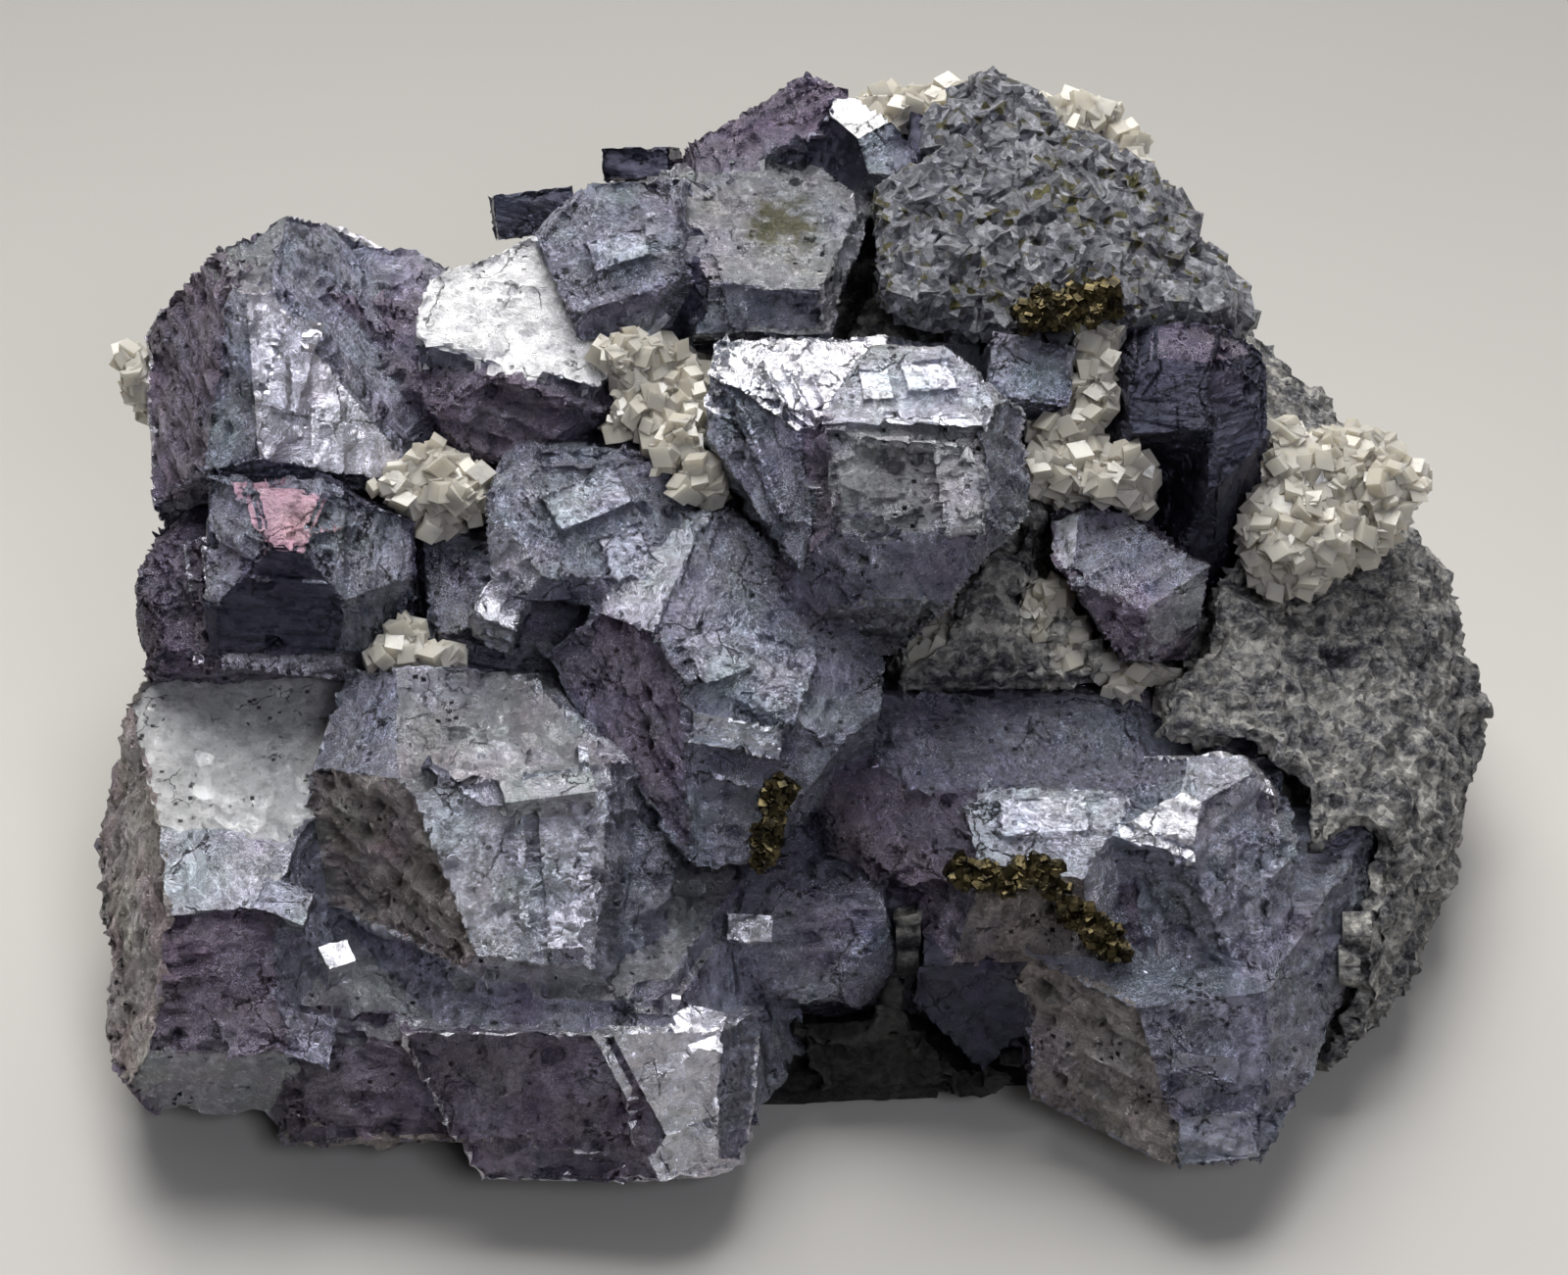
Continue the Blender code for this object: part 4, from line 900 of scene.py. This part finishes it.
def calcite_material():
    """Calcite: cloudy cream rhombs with a glassy cleavage surface that let some light through."""
    made, tree, shader, mm = new_material("cream_calcite")
    cloud = add(tree, "TexNoise", {"Vector": mm, "Scale": 0.7, "Detail": 5.0})
    colour = add(tree, "Mix", {"Factor": cloud, 6: "#E8DDC4", 7: "#FFF9EC"}, data_type="RGBA", out=2)
    fine = add(tree, "TexNoise", {"Vector": mm, "Scale": 4.0, "Detail": 4.0})
    bump = add(tree, "Bump", {"Strength": 0.25, "Distance": 0.1 * MM, "Height": fine})
    fill(shader, {
        "Base Color": colour, "Normal": bump, "Roughness": 0.22, "IOR": 1.6, "Transmission Weight": 0.4,
        "Subsurface Weight": 0.5, "Subsurface Radius": (1.0, 0.9, 0.7), "Subsurface Scale": 0.8 * MM})
    return made


def pyrite_material():
    """Pyrite: small brassy cubes, tarnished olive and brown."""
    made, tree, shader, mm = new_material("brassy_pyrite")
    film = add(tree, "TexNoise", {"Vector": mm, "Scale": 1.6, "Detail": 4.0})
    sharp = add(tree, "MapRange", [film, 0.36, 0.64])
    colour = add(tree, "Mix", {"Factor": sharp, 6: "#221E15", 7: "#5E5438"}, data_type="RGBA", out=2)
    fine = add(tree, "TexNoise", {"Vector": mm, "Scale": 5.0, "Detail": 4.0})
    bump = add(tree, "Bump", {"Strength": 0.4, "Distance": 0.1 * MM, "Height": fine})
    fill(shader, {"Base Color": colour, "Normal": bump, "Roughness": 0.36, "Metallic": 0.85})
    return made


def rock_relief():
    """Grain and hollows over a rock's surface, sunk into it, and left off its flat underside."""
    tree, given = new_tree("rock_relief", ("Hollow", "Grain", "Grain Scale", "Block"))
    spot = add(tree, "GeometryNodeInputPosition")
    mm = add(tree, "VectorMath", {0: spot, 3: 1000.0}, operation="SCALE")
    broad = add(tree, "TexNoise", {"Vector": mm, "Scale": 0.3, "Detail": 5.0, "Roughness": 0.6})
    sunk = add(tree, "MapRange", [broad, 0.4, 0.8])
    hollow = add(tree, "Math", [sunk, given["Hollow"]], operation="MULTIPLY")
    cells = add(tree, "TexVoronoi", {"Vector": mm, "Scale": given["Grain Scale"]}, distance="CHEBYCHEV")
    grain = add(tree, "Math", [cells, given["Grain"]], operation="MULTIPLY")
    blocks = add(tree, "TexVoronoi", {"Vector": mm, "Scale": 0.5}, distance="CHEBYCHEV", out="Color")
    high_block = add(tree, "SeparateXYZ", [blocks])
    block = add(tree, "Math", [high_block, given["Block"]], operation="MULTIPLY")
    small = add(tree, "TexNoise", {"Vector": mm, "Scale": 0.9, "Detail": 4.0, "Roughness": 0.7})
    dips = add(tree, "MapRange", [small, 0.42, 0.8])
    sharp = add(tree, "Math", [dips, given["Hollow"], block], operation="MULTIPLY_ADD")
    hollows = add(tree, "Math", [hollow, sharp], operation="ADD")
    both = add(tree, "Math", [hollows, grain], operation="ADD")
    high = add(tree, "SeparateXYZ", [mm], out=2)
    clear = add(tree, "MapRange", [high, 0.1, 1.2])
    kept = add(tree, "Math", [both, clear], operation="MULTIPLY")
    depth = add(tree, "Math", [kept, -MM], operation="MULTIPLY")
    normal = add(tree, "GeometryNodeInputNormal")
    move = add(tree, "VectorMath", {0: normal, 3: depth}, operation="SCALE")
    moved = add(tree, "GeometryNodeSetPosition", {"Geometry": given["Geometry"], "Offset": move})
    add(tree, "NodeGroupOutput", [moved], out=None)
    return tree


def scattered(form):
    """Small closed shapes of the given form grown over a surface, turned at random and realised.

    None grows behind the back limit, or lower than the size of the largest.
    """
    numbers = ("Per Square Metre", "Smallest", "Largest", "Back Limit")
    tree, given = new_tree("grown_" + form.name, numbers, Seed="Int", Material="Material")
    place = add(tree, "GeometryNodeInputPosition")
    back = add(tree, "SeparateXYZ", [place], out=1)
    strewn = add(tree, "GeometryNodeDistributePointsOnFaces", {
        "Mesh": given["Geometry"], "Density": given["Per Square Metre"], "Seed": given["Seed"]}, out="Points")
    behind = add(tree, "FunctionNodeCompare", [back, given["Back Limit"]], operation="GREATER_THAN")
    high = add(tree, "SeparateXYZ", [place], out=2)
    low = add(tree, "FunctionNodeCompare", [high, given["Largest"]], operation="LESS_THAN")
    outside = add(tree, "FunctionNodeBooleanMath", [behind, low], operation="OR")
    points = add(tree, "GeometryNodeDeleteGeometry", {
        "Geometry": strewn, "Selection": outside}, domain="POINT")
    shape = add(tree, "GeometryNodeObjectInfo", {"Object": form}, out="Geometry")
    spin = add(tree, "FunctionNodeRandomValue", {
        0: (0, 0, 0), 1: (6.28, 6.28, 6.28), "Seed": given["Seed"]},
               data_type="FLOAT_VECTOR")
    size = add(tree, "FunctionNodeRandomValue", {
        2: given["Smallest"], 3: given["Largest"], "Seed": given["Seed"]},
               data_type="FLOAT", out=1)
    grown = add(tree, "GeometryNodeInstanceOnPoints", {
        "Points": points, "Instance": shape, "Rotation": spin, "Scale": size})
    real = add(tree, "GeometryNodeRealizeInstances", [grown])
    both = add(tree, "GeometryNodeJoinGeometry", [given["Geometry"]], out=None)
    tree.links.new(real, both.inputs[0])
    coated = add(tree, "GeometryNodeSetMaterial", {
        "Geometry": both.outputs[0], "Material": given["Material"]})
    add(tree, "NodeGroupOutput", [coated], out=None)
    return tree


def unit_form(name, squash):
    """A one-metre cube, squashed along its long diagonal when squash is under 1, to be scaled down."""
    shape = bmesh.new()
    bmesh.ops.create_cube(shape, size=1.0)
    shape.transform(Matrix.Scale(squash, 4, Vector((1, 1, 1)).normalized()))
    return new_piece(name, shape)


def copy_of(node, name):
    """A merged copy of a CAD node's mesh as a new piece."""
    shape = bmesh.new()
    shape.from_mesh(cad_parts[node].data)
    bmesh.ops.remove_doubles(shape, verts=shape.verts[:], dist=0.000002)
    return new_piece(name, shape)


def even_mesh(piece, voxel):
    """Remeshes a piece evenly with voxels of the given size in millimetres."""
    remesh = piece.modifiers.new("even", "REMESH")
    remesh.mode = "VOXEL"
    remesh.voxel_size = voxel * MM
    return settle(piece)


def give(piece, node):
    """Lets a piece stand for a CAD node, hiding the node and hanging the piece on the root."""
    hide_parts(node)
    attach(piece, "root")
    return piece


def softbox(name, place, target, size, power, colour):
    """A rectangular studio light that points at a target."""
    lamp = bpy.data.lights.new(name, "AREA")
    lamp.shape = "RECTANGLE"
    lamp.size, lamp.size_y = size
    lamp.energy = power
    lamp.color = set_linear(colour)
    light = bpy.data.objects.new(name, lamp)
    bpy.context.scene.collection.objects.link(light)
    light.location = place
    light.rotation_mode = "QUATERNION"
    light.rotation_quaternion = (Vector(target) - Vector(place)).to_track_quat("-Z", "Y")
    return light


def studio():
    """The pale floor, the soft lights and the camera."""
    shape = bmesh.new()
    bmesh.ops.create_grid(shape, x_segments=1, y_segments=1, size=1.2)
    floor = new_piece("floor", shape)
    made = bpy.data.materials.new("matt_white_board")
    made.use_nodes = True
    tree = made.node_tree
    shader = tree.nodes["Principled BSDF"]
    spot = add(tree, "TexCoord", out="Object")
    cloud = add(tree, "TexNoise", {"Vector": spot, "Scale": 30.0, "Detail": 3.0})
    colour = add(tree, "Mix", {"Factor": cloud, 6: "#B3B0AB", 7: "#B8B5AF"}, data_type="RGBA", out=2)
    # painted shade: the floor's colour darkens towards the back, to half by 9 cm behind its middle
    back = add(tree, "SeparateXYZ", [spot], out=1)
    painted_falloff = add(tree, "MapRange", [back, 0.0, 0.09, 1.0, 0.5])
    shaded_floor_colour = add(tree, "Mix", {
        "Factor": 1.0, 6: colour, 7: painted_falloff}, data_type="RGBA", blend_type="MULTIPLY", out=2)
    fill(shader, {"Base Color": shaded_floor_colour, "Roughness": 0.6})
    finish_with(floor, made)
    # just under the specimen's flat cut
    floor.location = (0, 0, -0.00005)

    # a dome that is bright above and behind, and dim in front and near the horizon
    world = bpy.data.worlds.new("studio")
    bpy.context.scene.world = world
    world.use_nodes = True
    tree = world.node_tree
    sky = add(tree, "TexCoord", out="Generated")
    toward = add(tree, "VectorMath", [sky, (0.1, 0.55, 0.83)], operation="DOT_PRODUCT", out="Value")
    rise = add(tree, "MapRange", [toward, -0.2, 1.0])
    curve = add(tree, "Math", [rise, 2.0], operation="POWER")
    bright = add(tree, "Math", [curve, 0.28, 0.02], operation="MULTIPLY_ADD")
    fill(tree.nodes["Background"], {"Strength": bright, "Color": "#F6F7FA"})

    middle = (0, 0, 0.012)
    softbox("overhead", (-0.03, 0.15, 0.47), middle, (0.32, 0.22), 2.0, "#FFFFFF")
    softbox("back_lamp", (-0.03, 0.37, 0.35), middle, (0.34, 0.24), 1.6, "#FFFDF8")
    softbox("front_window", (0.14, -0.34, 0.44), middle, (0.18, 0.14), 0.85, "#EEF0FC")

    camera = bpy.data.cameras.new("camera")
    camera.sensor_width = 36
    camera.lens = camera.sensor_width * SIGHT / GRID / GRID_ACROSS
    camera.clip_start = 0.01
    seat = bpy.data.objects.new("camera", camera)
    bpy.context.scene.collection.objects.link(seat)
    eye = (SIDE_ORIGIN + SIDE @ Vector((0, 0, SIGHT))) * MM
    seat.matrix_world = Matrix.Translation(eye) @ SIDE.to_4x4()
    bpy.context.scene.camera = seat
    bpy.context.scene.view_settings.view_transform = "Standard"


galena = galena_material()
relief = crystal_relief()
for number, name in enumerate(GALENA):
    galena_clump(name, relief, galena, number)

rocky = rock_relief()
rock = even_mesh(copy_of("host_rock", "host_rock_surface"), 0.42)
run_tree(rock, rocky, Hollow=1.1, Grain=0.6, Grain_Scale=0.9, Block=0.35)
sharpen(finish_with(rock, rock_material()), 180)
give(rock, "host_rock")

ore = even_mesh(copy_of("massive_ore", "ore_surface"), 0.28)
run_tree(ore, rocky, Hollow=0.6, Grain=0.5, Grain_Scale=0.8, Block=0.8)
sharpen(finish_with(ore, ore_material()), 40)
ore_form = unit_form("galena_cube", 1.0)
run_tree(ore, scattered(ore_form), Per_Square_Metre=1600000.0, Smallest=0.0005, Largest=0.0016,
         Back_Limit=1.0, Seed=5, Material=ore.data.materials[0])
bpy.data.objects.remove(ore_form)
give(ore, "massive_ore")

calcite = calcite_material()
calcite_form = unit_form("calcite_rhomb", 0.7)
calcite_tree = scattered(calcite_form)
pyrite = pyrite_material()
pyrite_form = unit_form("pyrite_cube", 1.0)
pyrite_tree = scattered(pyrite_form)
for number, node in enumerate(sorted(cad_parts)):
    if node.startswith("calcite"):
        # the back limit keeps the rhombs inside the box of the CAD solids
        crust = finish_with(copy_of(node, node + "_rhombs"), calcite)
        run_tree(crust, calcite_tree, Per_Square_Metre=1800000.0, Smallest=0.0004, Largest=0.0012,
                 Back_Limit=cad_box[1][1] - 0.0011, Seed=number, Material=calcite)
        give(crust, node)
    if node.startswith("pyrite"):
        crust = finish_with(copy_of(node, node + "_grains"), pyrite)
        run_tree(crust, pyrite_tree, Per_Square_Metre=9000000.0, Smallest=0.0002, Largest=0.0005,
                 Back_Limit=1.0, Seed=number, Material=pyrite)
        give(crust, node)
bpy.data.objects.remove(calcite_form)
bpy.data.objects.remove(pyrite_form)

studio()
